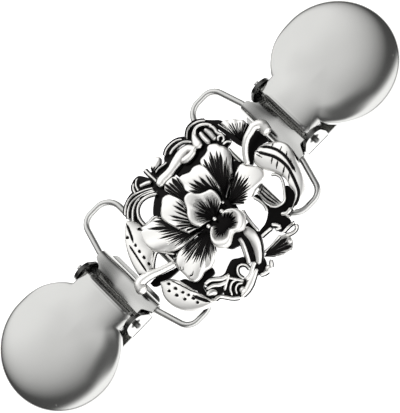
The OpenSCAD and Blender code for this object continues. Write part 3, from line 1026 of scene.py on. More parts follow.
@dataclass(frozen=True)
class LeverClip:
    """One clip with its loop, built on its side."""

    side: Side
    sizes: ClipSizes = ClipSizes()

    def build(self, satin: bpy.types.Material, bright: bpy.types.Material, plain: bpy.types.Material) -> None:
        """Builds and dresses every piece of the clip.

        Args:
            satin: finish of the face.
            bright: finish of the wire and the pin.
            plain: finish of the lever and the jaw.

        Returns:
            None.
        """
        word = self.side.word
        pieces = [
            ("face", ClipFace(self.sizes).shape(), "front", Slot.SATIN, satin, Edge(0.1, 2)),
            ("lever", LeverPlate(self.sizes).shape(), "lever_plate", Slot.SATIN, plain, Edge(0.1, 2)),
            ("back_jaw", BackJaw(self.sizes).shape(), "jaw", Slot.PLAIN, plain, Edge(0.12, 3)),
            ("pivot_pin", PivotPin(self.sizes).shape(), "jaw", Slot.BRIGHT, bright, None),
            ("loop", WireLoop(self.sizes).shape(), "wire", Slot.BRIGHT, bright, None),
        ]
        for node, shape, body, slot, material, edge in pieces:
            piece = make_piece(
                f"{word}_{node}_skin", shape.mirrored(self.side), f"{word}_{body}", material, edge
            )
            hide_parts(f"{word}_{node}")


# ---- flower casting

# Height of the casting's surface on its middle line, by Y. Its sides stay at SIDE_Z, and go over to
# the middle line's height between these distances from the middle, above and below the centre line.
CREST_Y = (-21.0, -19.0, -17.5, -15.4, -12.6, -9.8, -8.0, 8.2, 9.5, 12.0, 14.0, 15.0)
CREST_Z = (0.9, 1.1, 1.6, 2.4, 3.6, 4.6, 4.8, 4.1, 3.6, 1.9, 1.0, 0.8)
SIDE_Z = 4.8
SIDE_X_ABOVE = (6.0, 12.0)
SIDE_X_BELOW = (8.5, 13.0)
# Height of the webs against the surface, and how deep a black ray and a cut groove are
WEB_DROP = -0.7
RAY_DEPTH = 0.17
CUT_DEPTH = 0.24
# Half width up to which a stem is as high as it is wide
ROUND_HALF = 0.42


def cast_height(x: np.ndarray, y: np.ndarray) -> np.ndarray:
    """Height of the casting's bowed surface.

    Args:
        x: distances from the middle.
        y: distances from the clips' centre line.

    Returns:
        The heights.
    """
    middle = np.interp(y, CREST_Y, CREST_Z)
    off = np.abs(x)
    aside = np.where(y > 0, smoothstep(*SIDE_X_ABOVE, off), smoothstep(*SIDE_X_BELOW, off))
    return middle + (SIDE_Z - middle) * aside


def placed(way: Flat, lift: float = 0.0) -> np.ndarray:
    """Lays a flat way on the casting's bowed surface.

    Args:
        way: points as x and y, or with a height of their own.
        lift: how far above the surface it lies.

    Returns:
        Points of shape (n, 3).
    """
    p = np.array(way, float)
    if p.shape[1] == 3:
        return p
    return np.c_[p, cast_height(p[:, 0], p[:, 1]) + lift]


@dataclass(frozen=True)
class Cut:
    """A groove cut into a petal or leaf, or a row of dots."""

    way: Flat
    half: float
    pitch: float = 0.0

    def dark_at(self, x: np.ndarray, y: np.ndarray) -> np.ndarray:
        """How deep each point lies in the groove.

        Args:
            x: distances from the middle.
            y: distances from the clips' centre line.

        Returns:
            0 outside the groove to 1 in it.
        """
        line = spline([(*p, 0.0) for p in self.way], 40)[:, :2]
        here = np.stack([x, y], axis=-1)
        near = np.full(x.shape, 1e9)
        along = np.zeros(x.shape)
        start = 0.0
        for a, b in zip(line[:-1], line[1:]):
            size = float(np.linalg.norm(b - a))
            share = np.clip(((here - a) @ (b - a)) / size**2, 0.0, 1.0)
            off = np.linalg.norm(here - a - share[..., None] * (b - a), axis=-1)
            along = np.where(off < near, start + share * size, along)
            near = np.minimum(near, off)
            start += size
        if self.pitch:
            beat = np.abs((along + self.pitch / 2) % self.pitch - self.pitch / 2)
            near = np.hypot(near, beat * 0.62)
            return 1.0 - smoothstep(0.75, 1.2, near / self.half)
        taper = np.clip(np.minimum(along, start - along) / 0.7, 0.35, 1.0)
        return 1.0 - smoothstep(0.7, 1.25, near / (self.half * taper))


@dataclass(frozen=True)
class CastSheet:
    """A petal or leaf: a cast sheet between a near edge, or a root, and a far edge."""

    near: Flat
    far: Flat
    near_z: float
    far_z: float
    arch: float = 0.0
    thickness: float = 0.95
    # Black rays from the root: how many, how far out they reach along the edge, and how much of the
    # pitch the bright ridge between two of them takes
    lines: int = 0
    reach: tuple[float, ...] = (0.7,)
    thin: tuple[float, ...] = (0.3,)
    # Width of the bright side edges as a share, depth of a hollow, and grey beyond the rays
    rim: float = 0.0
    cup: float = 0.0
    haze: float = 0.0
    ruffle: float = 0.1
    cuts: Sequence[Cut] = ()
    rows: int = 46
    lanes: int = 100
    seed: int = 1

    def rays(self, u: np.ndarray, w: np.ndarray) -> np.ndarray:
        """Black rays with thin bright ridges, which end raggedly short of a bright margin.

        Args:
            u: share of the way from the root to the edge, as a column.
            w: share of the way along the edge, as a row.

        Returns:
            0 where bright to 1 where black.
        """
        if not self.lines:
            return np.full((len(u), w.shape[1]), self.haze)
        chance = np.random.default_rng(self.seed)
        ends = np.arange(self.lines + 1)
        knots = ends / self.lines
        knots[1:-1] += chance.uniform(-0.24, 0.24, self.lines - 1) / self.lines
        phase = np.interp(w, knots, ends)
        from_ridge = np.abs((phase + 0.5) % 1.0 - 0.5)
        nearest = np.clip(np.round(phase).astype(int), 0, self.lines)
        groove = np.clip(np.floor(phase).astype(int), 0, self.lines - 1)
        spread = np.linspace(0.0, 1.0, len(self.reach))
        reach = np.interp(w, spread, self.reach) + chance.uniform(-0.085, 0.06, self.lines)[groove]
        share = np.interp(w, np.linspace(0.0, 1.0, len(self.thin)), self.thin)
        share = share * chance.uniform(0.35, 1.45, self.lines + 1)[nearest]
        begin = chance.uniform(0.16, 0.5, self.lines + 1)[nearest]
        ridge = 0.5 * share * smoothstep(begin, begin + 0.3, u)
        ridge = ridge + (0.66 - ridge) * smoothstep(reach - 0.14, reach + 0.12, u)
        black = smoothstep(-0.09, 0.09, from_ridge - ridge)
        black = np.maximum(black, self.haze * (1.0 - smoothstep(reach + 0.02, reach + 0.2, u)))
        if self.rim:
            black = black * smoothstep(0.3 * self.rim, self.rim, np.minimum(w, 1.0 - w))
        return black

    def shape(self) -> Shape:
        """Builds the sheet with its relief and rounded edges.

        Returns:
            The closed shape.
        """
        u, w = stations(self.rows), stations(self.lanes)
        edges = []
        for way, z in ((self.near, self.near_z), (self.far, self.far_z)):
            line = spline([(x, y, z) for x, y in way], 300)
            at = np.linspace(0.0, 1.0, len(line))
            edges.append(np.stack([np.interp(w, at, line[:, k]) for k in range(3)], axis=1))
        near, far = edges
        top = near[None] + (far - near)[None] * u[:, None, None]
        across = np.linalg.norm(far - near, axis=1)[None, :]
        column, row = u[:, None], w[None, :]
        black = self.rays(column, row)
        height = -RAY_DEPTH * black
        if self.cup:
            height = height + self.cup * (smoothstep(0.28, 0.82, column) - column)
            height = height - 0.35 * smoothstep(0.88, 1.0, column)
        for cut in self.cuts:
            dark = cut.dark_at(top[:, :, 0], top[:, :, 1])
            black, height = np.maximum(black, dark), np.minimum(height, -CUT_DEPTH * dark)
        top[:, :, 2] += self.arch * 4 * column * (1 - column) + height
        top[:, :, 2] += self.ruffle * np.sin(6 * np.pi * row + self.seed) * column**3
        width = np.linalg.norm(np.diff(top, axis=1), axis=2).sum(axis=1)[:, None]
        to_edge = np.minimum(np.minimum(row, 1 - row) * width, (1 - column) * across)
        if len(self.near) > 1:
            to_edge = np.minimum(to_edge, column * across)
        half = self.thickness / 2
        ease = np.sqrt(1.0 - (1.0 - np.clip(to_edge / half, 0, 1)) ** 2)
        bottom = top.copy()
        top[:, :, 2] -= (1 - ease) * half
        bottom[:, :, 2] -= height + 2 * half - (1 - ease) * half
        bottom[:, :, 2] = np.minimum(bottom[:, :, 2], top[:, :, 2] - THINNEST)
        for grid in (top, bottom):
            grid[:, :, 2] = np.maximum(grid[:, :, 2], LOWEST)
        return shell(top, bottom, black)


@dataclass(frozen=True)
class Strand:
    """A cast stem or ribbon: a round line that stands up from a lower blackened flange."""

    way: Flat
    radii: tuple[float, ...]
    flange: float = 0.3
    lift: float = 0.0
    # How dark the whole strand is at least
    least_dark: float = 0.0
    # How fast a wide stem gets higher too: 0.3 for a ribbon, 1 for a round stem
    roundness: float = 0.3
    # Distance between the rings of points
    step: float = 0.24

    def shape(self) -> Shape:
        """Sweeps the stem's section along its way.

        Returns:
            The closed shape.
        """
        way = placed(self.way, self.lift)
        count = max(14, int(travelled(spline(way, 60))[-1] / self.step))
        line = spline(way, count)
        ahead = np.gradient(line, axis=0)
        ahead /= np.linalg.norm(ahead, axis=1, keepdims=True)
        side = np.c_[-ahead[:, 1], ahead[:, 0], np.zeros(count)]
        side /= np.linalg.norm(side, axis=1, keepdims=True)
        up = np.cross(ahead, side)
        wide = np.interp(np.linspace(0, 1, count), np.linspace(0, 1, len(self.radii)), self.radii)
        # A wide ribbon is flatter than a round stem
        high = np.minimum(wide, ROUND_HALF + self.roundness * (wide - ROUND_HALF))
        reach = travelled(line)
        from_end = np.minimum(reach, reach[-1] - reach) / wide
        ease = np.sqrt(1 - (1 - np.clip(from_end, 0.0, 1)) ** 2) * 0.9 + 0.1
        arc = np.radians(np.linspace(195.0, -15.0, 14))
        out, rise = wide[:, None] * np.cos(arc), high[:, None] * np.sin(arc)
        brim = (wide + self.flange)[:, None] * np.array([1.0, 1.0, -1.0, -1.0])
        if not self.flange:
            brim = brim * 0.6
        foot = high[:, None] * np.array([-0.35, -0.95, -0.95, -0.35])
        out, rise = np.hstack([out, brim]), np.hstack([rise, foot])
        black = np.concatenate([1.0 - smoothstep(0.12, 0.5, np.sin(arc)), np.ones(4)])
        section = out[..., None] * side[:, None] + rise[..., None] * up[:, None]
        rings = line[:, None] + ease[:, None, None] * section
        rings[:, :, 2] = np.maximum(rings[:, :, 2], LOWEST)
        return tube(rings[:, ::-1], np.maximum(black, self.least_dark)[::-1])


@dataclass(frozen=True)
class Web:
    """A lower blackened web between stems."""

    outline: Flat
    thickness: float = 0.6
    # Share that it gets thinner by at the sides, and distances from the middle where that starts and
    # is reached
    thin: float = 0.7
    thin_x: Range = (15.0, 17.0)

    def shape(self) -> Shape:
        """Builds the web.

        Returns:
            The closed shape.
        """
        ring = spline([(*p, 0.0) for p in (*self.outline, self.outline[0])], 73)[:-1, :2]
        x, y = ring.T
        if float(np.sum(x * np.roll(y, -1) - y * np.roll(x, -1))) < 0:
            ring = ring[::-1]
        web = plate(ring, 0.0, 0.0, 1.0)
        top = placed(ring, WEB_DROP)[:, 2]
        # Thinner at the sides, where a turned jaw's tail passes under it
        deep = self.thickness * (1.0 - self.thin * smoothstep(*self.thin_x, np.abs(ring[:, 0])))
        web.points[:, 2] = np.maximum(np.concatenate([top, top - deep]), LOWEST)
        return web


PETALS: dict[str, CastSheet] = {
    "petal_left": CastSheet([(-1.8, -4.6)], [(-6.9, 3.67), (-7.6, 4.47), (-8.8, 4.77), (-10.2, 4.97),
        (-11.6, 5.27), (-12.6, 4.27), (-13.1, 2.67), (-13.1, 0.77), (-12.6, -0.63), (-11.6, -1.83), (-10.2,
        -3.03), (-8.2, -4.03)], 5, 5.4, arch=1, lines=17, reach=(0.97, 0.9, 0.8, 0.71, 0.68, 0.7, 0.82,
        0.9), thin=(0, 0, 0.1, 0.25, 0.35, 0.3, 0.3), rim=0.04, seed=3, lanes=190, cuts=[Cut([(-11.75,
        5.07), (-11.6, 4.67)], 0.3, 9)]),
    "petal_right": CastSheet([(4.6, -3.4)], [(6.0, 4.27), (6.3, 5.67), (6.9, 6.27), (8.2, 6.37), (9.1,
        6.67), (9.8, 7.17), (10.6, 6.97), (11.4, 6.17), (11.7, 5.27), (12.1, 4.47), (12.2, 3.27), (11.8,
        2.37), (11.2, 1.57), (10.3, 0.47), (9.0, -1.03), (7.6, -2.13)], 5, 5.4, arch=1, lines=20,
        reach=(0.9, 0.88, 0.82, 0.78, 0.8, 0.86, 0.96, 1.05), thin=(0, 0.06, 0.1, 0.14, 0.16, 0.1),
        rim=0.04, seed=5, lanes=200),
    "petal_low_right": CastSheet([(4.4, -4.6)], [(8.2, -2.0), (9.4, -1.4), (10.4, -0.8), (11.4, -0.5),
        (12.2, -0.7), (12.7, -1.7), (13.3, -2.6), (13.9, -3.5), (14.1, -4.5), (13.8, -5.5), (13.0, -6.2),
        (11.6, -6.5), (10.2, -6.6), (8.8, -7.0), (7.4, -7.0), (6.0, -6.7)], 5, 5.3, arch=0.8, lines=15,
        reach=(1, 0.88, 0.7, 0.64, 0.66, 0.7, 0.85, 1), thin=(0.05, 0.2, 0.3, 0.25, 0.1, 0.05), rim=0.03,
        seed=8, lanes=170),
    "petal_low_left": CastSheet([(-1.4, -5.4)], [(-8.2, -4.17), (-9.6, -3.97), (-10.8, -4.57), (-11.9,
        -5.77), (-12.0, -7.07), (-12.0, -8.67), (-11.8, -10.27), (-11.0, -11.07), (-9.8, -11.07), (-8.6,
        -10.77), (-7.2, -11.07), (-5.8, -10.77), (-4.8, -10.07), (-4.0, -9.67)], 5, 5.2, arch=0.8, lines=22,
        reach=(0.86, 0.83, 0.78, 0.72, 0.7, 0.74, 0.84, 1), thin=(0.08, 0.2, 0.3, 0.3, 0.25), seed=11,
        lanes=230, cuts=[Cut([(-11.6, -8.96), (-10.9, -9.46), (-10.2, -9.16)], 0.16), Cut([(-11.6, -6.36),
        (-11.2, -7.56)], 0.1)]),
    "petal_back": CastSheet([(-0.8, 0.3)], [(-2.5, 5.03), (-2.7, 6.63), (-2.4, 7.73), (-1.3, 8.33), (0.0,
        8.33), (0.9, 7.73), (1.1, 6.43), (0.9, 5.03)], 4.7, 4.9, arch=0.3, lines=9, reach=(1.1, 1, 0.98,
        0.97, 0.92, 1.1), thin=(0.05, 0.14, 0.1, 0.16), rows=30, lanes=80, seed=13),
    "petal_up_left": CastSheet([(-1.6, -4.33)], [(-5.4, -3.22), (-6.2, -1.22), (-6.7, 0.58), (-7.0, 1.98),
        (-7.0, 3.08), (-6.5, 3.88), (-5.7, 4.58), (-4.9, 5.18), (-4.2, 5.78), (-3.4, 5.88), (-2.6, 5.48),
        (-2.2, 4.58), (-1.9, 3.58), (-1.7, 2.58), (-2.2, 1.58), (-3.0, 0.18)], 5.4, 6.9, arch=0.7, lines=13,
        reach=(1, 0.92, 0.8, 0.76, 0.76, 0.8, 0.98, 1.1), thin=(0.3, 0.42, 0.45, 0.4, 0.05), seed=17,
        lanes=150),
    "petal_up_right": CastSheet([(4.1, -3.73)], [(0.9, 1.38), (0.5, 2.78), (0.3, 3.68), (0.7, 4.68), (0.9,
        5.68), (1.2, 6.28), (2.0, 6.28), (2.8, 5.88), (3.6, 5.58), (4.6, 5.78), (5.4, 5.58), (6.1, 5.08),
        (6.4, 3.98), (6.3, 2.38), (6.0, 0.58), (5.6, -1.22)], 5.4, 6.9, arch=0.7, lines=11, reach=(1, 0.86,
        0.74, 0.71, 0.71, 0.73, 0.77, 0.86), thin=(0, 0.05, 0.3, 0.45, 0.5, 0.4), seed=19, lanes=160),
    "petal_top": CastSheet([(0.6, -4.73)], [(-2.8, -4.28), (-3.5, -3.08), (-3.5, -1.78), (-2.9, -0.58),
        (-2.1, 0.42), (-1.6, 1.52), (-1.0, 2.32), (-0.2, 2.52), (0.7, 2.22), (1.2, 1.42), (2.0, 0.62), (3.0,
        0.12), (3.9, -0.28), (4.3, -1.28), (4.2, -2.68), (3.7, -3.88)], 6, 7.7, arch=0.4, lines=16,
        reach=(0.7, 0.67, 0.64, 0.6, 0.65, 0.74, 0.8), thin=(0.45, 0.6, 0.6, 0.5), haze=0.5, seed=23,
        lanes=150),
    "lip": CastSheet([(0.6, -6.33)], [(-1.4, -5.65), (-2.5, -6.45), (-3.4, -7.75), (-3.6, -9.05), (-3.1,
        -10.15), (-2.2, -10.95), (-1.2, -11.05), (-0.3, -10.65), (0.5, -10.15), (1.2, -10.05), (1.9,
        -10.55), (2.8, -10.95), (3.9, -10.45), (4.8, -9.45), (5.2, -8.25), (5.0, -7.05), (4.4, -6.15), (3.4,
        -5.45), (2.3, -5.25)], 5.1, 7, lines=22, reach=(0.62, 0.6, 0.52, 0.5, 0.56, 0.6, 0.66, 0.72, 0.66),
        thin=(0.1, 0.2, 0.15, 0.3, 0.2), cup=2, rows=48, lanes=200, seed=29),
    "leaf_fan": CastSheet([(15.1, 3.0)], [(14.9, 8.7), (16.0, 8.5), (17.0, 7.7), (17.9, 6.7), (18.6, 5.6),
        (18.6, 4.6)], 4.7, 5, arch=0.3, lines=9, reach=(0.7, 0.75, 0.9, 0.98), thin=(0.5, 0.5, 0.45),
        rows=34, lanes=80, seed=43),
    "leaf_bottom": CastSheet([(1.8, -16.68)], [(4.6, -15.92), (6.4, -15.92), (7.8, -16.32), (8.3, -17.42),
        (7.9, -18.62), (6.6, -19.62), (4.8, -19.22), (3.2, -18.32)], 2.5, 2, arch=0.3, lines=9, reach=(0.95,
        0.9, 0.95, 0.8), thin=(0.35, 0.3, 0.4, 0.4), haze=0.52, rows=32, lanes=80, seed=53),
    "leaf_top": CastSheet([(-1.9, 12.91)], [(-1.5, 13.94), (-0.9, 14.64), (0.2, 15.14), (1.2, 14.84), (1.5,
        13.94), (0.9, 13.14), (-0.4, 12.94)], 1.9, 1.5, arch=0.3, lines=5, reach=(0.7, 0.5, 0.35, 0.35,
        0.4), thin=(0.4, 0.4), rows=24, lanes=50, seed=59),
}

LEAVES: dict[str, CastSheet] = {
    "leaf_left": CastSheet([(-12.9, 8.4), (-14.6, 7.1), (-16.2, 5.1), (-17.4, 2.6), (-18.2, 0.2), (-18.4,
        -1.6), (-17.4, -3.0)], [(-12.4, 8.6), (-11.3, 7.4), (-11.0, 5.4), (-11.6, 2.6), (-12.8, 0.2),
        (-14.6, -1.8), (-16.2, -3.0)], 5, 5, arch=0.6, rows=56, lanes=130, cuts=[Cut([(-15.5, 4.4), (-16.0,
        1.9), (-16.4, -0.1), (-16.8, -2.3)], 0.17), Cut([(-14.75, 6.0), (-14.6, 5.7)], 0.3, 9), Cut([(-12.8,
        8.0), (-13.3, 6.7), (-14.0, 5.2), (-14.5, 4.2)], 0.24), Cut([(-14.6, 3.5), (-14.9, 2.1), (-15.1,
        0.5), (-15.3, -1.0), (-15.6, -2.5)], 0.27, 1.6), Cut([(-18.4, -1.1), (-17.6, -2.1)], 0.14),
        Cut([(-11.75, 5.4), (-11.65, 5.1)], 0.34, 9)]),
    "leaf_low_left": CastSheet([(-16.6, -5.7), (-17.9, -8.0), (-18.1, -10.4), (-17.3, -12.8), (-15.7,
        -14.8), (-13.7, -16.2), (-11.2, -17.0)], [(-16.2, -5.6), (-14.6, -6.4), (-13.6, -7.8), (-13.2,
        -9.4), (-12.8, -11.2), (-12.4, -13.0), (-11.9, -15.0), (-11.0, -16.8)], 5, 5, arch=0.5, rows=56,
        lanes=130, cuts=[Cut([(-16.4, -8.2), (-15.9, -10.1), (-15.3, -11.9)], 0.28, 1.93), Cut([(-15.4,
        -7.1), (-15.1, -8.9), (-14.6, -10.6)], 0.28, 1.8), Cut([(-14.2, -11.7), (-14.0, -13.0), (-14.0,
        -14.3)], 0.27, 1.3), Cut([(-13.6, -12.5), (-13.3, -13.6), (-12.8, -14.7), (-12.2, -16.0)], 0.32),
        Cut([(-14.6, -7.0), (-13.9, -9.3), (-13.3, -11.3), (-12.6, -12.9)], 0.09)]),
    "leaf_right": CastSheet([(13.8, -2.5), (13.9, -3.7), (14.3, -5.0), (15.0, -6.3), (15.6, -7.7), (15.8,
        -9.3), (15.3, -11.1), (15.1, -12.7), (14.2, -13.7), (12.5, -14.6)], [(15.4, -0.9), (17.2, -0.8),
        (19.0, -1.7), (20.4, -2.9), (21.1, -4.3), (21.1, -5.7), (20.6, -7.1), (19.9, -8.9), (19.0, -11.1),
        (17.6, -13.3), (15.8, -14.9), (12.5, -15.3)], 5.3, 5.3, arch=0.5, rows=90, lanes=170,
        cuts=[Cut([(15.9, -1.4), (16.5, -2.7), (17.2, -4.0), (17.7, -5.4), (17.9, -7.0), (17.8, -8.6),
        (17.3, -10.2), (16.7, -11.8), (15.9, -13.4), (14.6, -14.4), (12.9, -14.9)], 0.3), Cut([(17.0, -1.1),
        (18.0, -2.2), (18.7, -3.6), (19.05, -5.0), (19.1, -6.6), (18.8, -8.2), (18.3, -10.0)], 0.28),
        Cut([(16.1, -5.3), (17.4, -4.3)], 0.15), Cut([(16.1, -6.7), (17.6, -5.7)], 0.17), Cut([(16.1, -8.5),
        (17.7, -7.6)], 0.16), Cut([(16.0, -10.3), (17.3, -9.3)], 0.15), Cut([(15.4, -1.7), (15.7, -3.0)],
        0.12), Cut([(18.5, -2.9), (19.5, -2.4)], 0.15), Cut([(19.0, -4.8), (20.0, -4.3)], 0.15), Cut([(19.0,
        -6.6), (20.0, -5.9)], 0.15), Cut([(18.7, -8.4), (19.5, -7.5)], 0.14)]),
    "leaf_band": CastSheet([(9.9, -6.97), (9.7, -8.97), (9.9, -10.57), (10.6, -11.77), (11.4, -12.27)],
        [(12.0, -6.57), (12.0, -8.57), (12.0, -10.57), (12.05, -11.57), (12.1, -12.27)], 4.9, 4.9, arch=0.1,
        haze=0.5, rows=40, lanes=60, cuts=[Cut([(10.5, -7.27), (10.45, -9.47), (10.9, -11.47)], 0.2),
        Cut([(11.1, -7.07), (11.15, -9.47), (11.4, -11.87)], 0.13), Cut([(11.7, -6.87), (11.75, -9.47),
        (11.8, -11.97)], 0.13), Cut([(10.2, -7.67), (11.8, -6.97)], 0.14)]),
}

STRANDS: list[Strand] = [
    # Broad ribbon above the petals, with its knob
    Strand([(-2.9, 8.86), (-1.6, 9.43), (0.6, 9.43), (2.4, 9.81), (4.0, 10.2), (5.4, 10.46), (6.6, 10.18),
        (7.3, 9.27), (7.5, 8.47)], (0.8, 1, 0.95, 0.9, 1.1, 1.2, 1.05, 0.9, 0.5), 0.25, 0.35),
    Strand([(3.8, 9.28), (4.9, 8.71), (6.2, 8.6), (7.5, 8.88)], (0.6, 0.8, 0.7, 0.6), 0.15, 0.45),
    # Arch beside the ribbon and the bands under it
    Strand([(8.5, 8.18), (8.8, 9.67), (9.5, 11.12), (10.6, 11.81), (11.8, 11.49), (12.8, 10.63), (13.4,
        9.43)], (1, 0.95, 0.6, 0.34, 0.3, 0.3, 0.3), 0.2, 0.1),
    Strand([(10.5, 7.27), (10.5, 9.09), (10.8, 10.6)], (0.5, 0.5, 0.4), 0.1, 0.1),
    Strand([(11.8, 7.0), (12.0, 8.7), (11.8, 10.4)], (0.5, 0.6, 0.4), 0.1, -0.1, 0.42),
    Strand([(12.9, 10.13), (13.3, 8.93), (13.1, 7.63), (13.6, 6.63)], (0.32,), 0.15, 0.1),
    # Double strand of the upper right edge
    Strand([(2.3, 13.66), (3.6, 14.43), (5.0, 14.54), (6.2, 14.22), (7.2, 13.28)], (0.19,), 0.35),
    Strand([(3.2, 12.95), (4.4, 13.3), (5.6, 13.25), (6.8, 12.77), (7.7, 11.67), (8.1, 10.75)], (0.24,),
        0.3),
    Strand([(7.9, 12.21), (8.8, 12.96), (9.8, 13.16), (11.0, 12.84), (12.2, 12.27), (13.2, 11.37)], (0.19,),
        0.35),
    # Strands round the opening at the upper left
    Strand([(-11.9, 9.67), (-10.6, 10.86), (-9.2, 11.77), (-7.8, 12.23), (-6.6, 11.85), (-5.2, 10.99),
        (-4.0, 9.96)], (0.21,), 0.3),
    Strand([(-12.0, 8.67), (-10.9, 9.81), (-9.6, 10.75), (-8.2, 11.2), (-7.0, 11.11), (-5.6, 10.47), (-4.2,
        9.45)], (0.2,), 0.25),
    Strand([(-11.7, 7.47), (-10.7, 8.6), (-9.6, 9.61), (-8.2, 10.37), (-6.8, 10.5), (-5.4, 9.83), (-4.2,
        8.99)], (0.22,), 0.25),
    Strand([(-10.5, 4.99), (-10.4, 6.5), (-10.0, 7.72), (-9.0, 8.93), (-7.6, 9.67), (-6.2, 9.57), (-5.0,
        8.88), (-4.2, 8.19)], (0.25,), 0.2),
    Strand([(-10.4, 5.0), (-9.2, 4.95), (-8.1, 5.0), (-7.3, 4.42)], (0.22,), 0.15, 0.3),
    # Bud at the upper left
    Strand([(-7.3, 12.23), (-6.9, 13.57), (-6.1, 14.43)], (0.2,), 0.35),
    Strand([(-6.5, 12.11), (-6.2, 13.42), (-5.5, 14.33), (-4.8, 14.65)], (0.2,), 0.3),
    Strand([(-5.7, 12.84), (-4.5, 12.25), (-3.3, 11.37)], (0.35, 0.45, 0.4), 0.2),
    Strand([(-2.55, 14.97), (-2.6, 13.19), (-2.5, 11.24), (-2.6, 9.34)], (0.25,), 0.3),
    Strand([(-1.4, 12.4), (-0.4, 12.64), (0.8, 12.29), (1.8, 12.17)], (0.2,), 0.1, -0.1, 0.35),
    # Ring and frame beside the right opening
    Strand([(12.0, 6.37), (12.6, 6.97), (13.4, 6.57), (13.1, 5.77), (12.3, 5.67)], (0.22,), 0.2),
    Strand([(12.2, 5.17), (13.1, 4.97), (13.8, 4.17)], (0.22,), 0.2),
    Strand([(12.1, -0.12), (12.1, 1.87), (12.4, 3.87)], (0.2,), 0.1, 0, 0.4),
    Strand([(14.4, 9.06), (14.8, 6.96), (15.2, 4.86)], (0.1,), 0, -0.3),
    Strand([(14.9, 7.96), (15.2, 6.46), (15.7, 5.16)], (0.1,), 0, -0.3),
    Strand([(15.4, 1.56), (16.8, 2.56), (18.0, 3.46)], (0.1,), 0, -0.3),
    # Frame of the opening beside the left leaf
    Strand([(-15.6, -2.6), (-14.2, -1.4), (-12.6, -0.6), (-11.7, -1.68), (-11.0, -2.77), (-10.4, -3.56)],
        (0.2,), 0.2, 0.2),
    Strand([(-11.6, -2.12), (-11.6, -4.72)], (0.26,), 0.1, 0, 0.3),
    # Scrolls of the lower left edge
    Strand([(-10.6, -12.34), (-9.2, -12.39), (-8.2, -13.08), (-7.2, -13.87), (-6.0, -14.22)], (0.3, 0.42,
        0.42, 0.4, 0.4), 0.2),
    Strand([(-11.0, -13.33), (-9.6, -13.5), (-8.4, -14.3), (-7.0, -14.83)], (0.3, 0.4, 0.45, 0.4), 0.2),
    Strand([(-11.7, -14.21), (-10.6, -14.47), (-10.1, -15.29)], (0.5, 0.75, 0.5), 0.12),
    Strand([(-11.6, -16.04), (-10.2, -15.95), (-9.5, -16.62), (-8.6, -17.76), (-7.4, -18.75)], (0.34,),
        0.15),
    Strand([(-8.6, -15.62), (-7.4, -14.92), (-6.4, -14.48), (-5.6, -13.95)], (0.32,), 0.25),
    Strand([(-6.3, -14.39), (-5.4, -15.71), (-4.6, -16.96)], (0.28,), 0.3),
    Strand([(-4.3, -16.78), (-4.4, -15.36), (-3.6, -14.44), (-2.6, -14.48), (-2.0, -15.27), (-2.1, -16.42)],
        (0.22,), 0.25),
    Strand([(-8.3, -17.31), (-7.6, -16.16), (-6.4, -15.62), (-5.3, -15.98), (-4.8, -16.87)], (0.22,), 0.25),
    Strand([(-7.4, -17.76), (-6.9, -16.96), (-5.9, -16.6), (-5.0, -17.13)], (0.2,), 0.2),
    Strand([(-7.2, -18.75), (-5.4, -18.57), (-3.6, -18.03), (-2.0, -17.49), (-0.9, -17.13)], (0.45, 0.7,
        0.8, 0.6, 0.4), 0.1),
    Strand([(-4.2, -17.13), (-2.8, -17.13), (-1.4, -16.42), (-0.2, -15.98)], (0.45,), 0.1),
    Strand([(-1.6, -18.39), (-0.2, -18.93), (1.4, -18.66), (2.2, -17.76)], (0.3, 0.4, 0.4, 0.3), 0.12),
    # Stems under the lip
    Strand([(1.0, -10.67), (0.7, -11.83), (0.1, -13.08), (-0.6, -14.3), (-1.4, -15.53)], (0.45,), 0.2),
    Strand([(3.0, -10.13), (3.1, -12.01), (2.5, -13.78), (1.4, -15.36), (-0.1, -16.87)], (0.9, 1.1, 1, 0.8,
        0.5), 0.25),
    # Frames of the openings at the lower right
    Strand([(5.4, -7.33), (5.0, -9.09), (4.7, -10.94), (4.6, -12.55)], (0.26,), 0.12),
    Strand([(8.8, -7.12), (9.15, -8.71), (9.15, -10.05), (8.7, -11.21)], (0.2,), 0.12, 0, 0.2),
    Strand([(9.7, -10.74), (10.5, -11.81), (11.7, -12.41), (12.8, -12.28), (13.8, -11.18), (14.8, -9.88),
        (15.4, -8.58), (15.2, -7.38), (14.4, -6.58)], (0.2,), 0.1, 0.15),
    Strand([(4.1, -13.6), (5.6, -13.69), (7.0, -13.87)], (0.3,), 0.2),
    Strand([(7.3, -13.34), (8.0, -14.04), (8.4, -14.92)], (0.36,), 0.1),
    Strand([(7.1, -14.57), (8.4, -15.09)], (0.3,), 0.1),
    Strand([(10.2, -13.48), (11.2, -14.31), (12.5, -14.41)], (0.4,), 0.1),
    Strand([(10.8, -14.23), (11.0, -15.5)], (0.34,), 0.1),
    Strand([(2.3, -16.07), (4.6, -16.16), (7.2, -15.98)], (0.2,), 0.12),
    Strand([(7.8, -15.98), (9.6, -16.09), (10.9, -16.61)], (0.28,), 0.15),
    Strand([(7.8, -16.51), (8.6, -17.14), (10.0, -17.56), (10.9, -17.09)], (0.28,), 0.15),
]

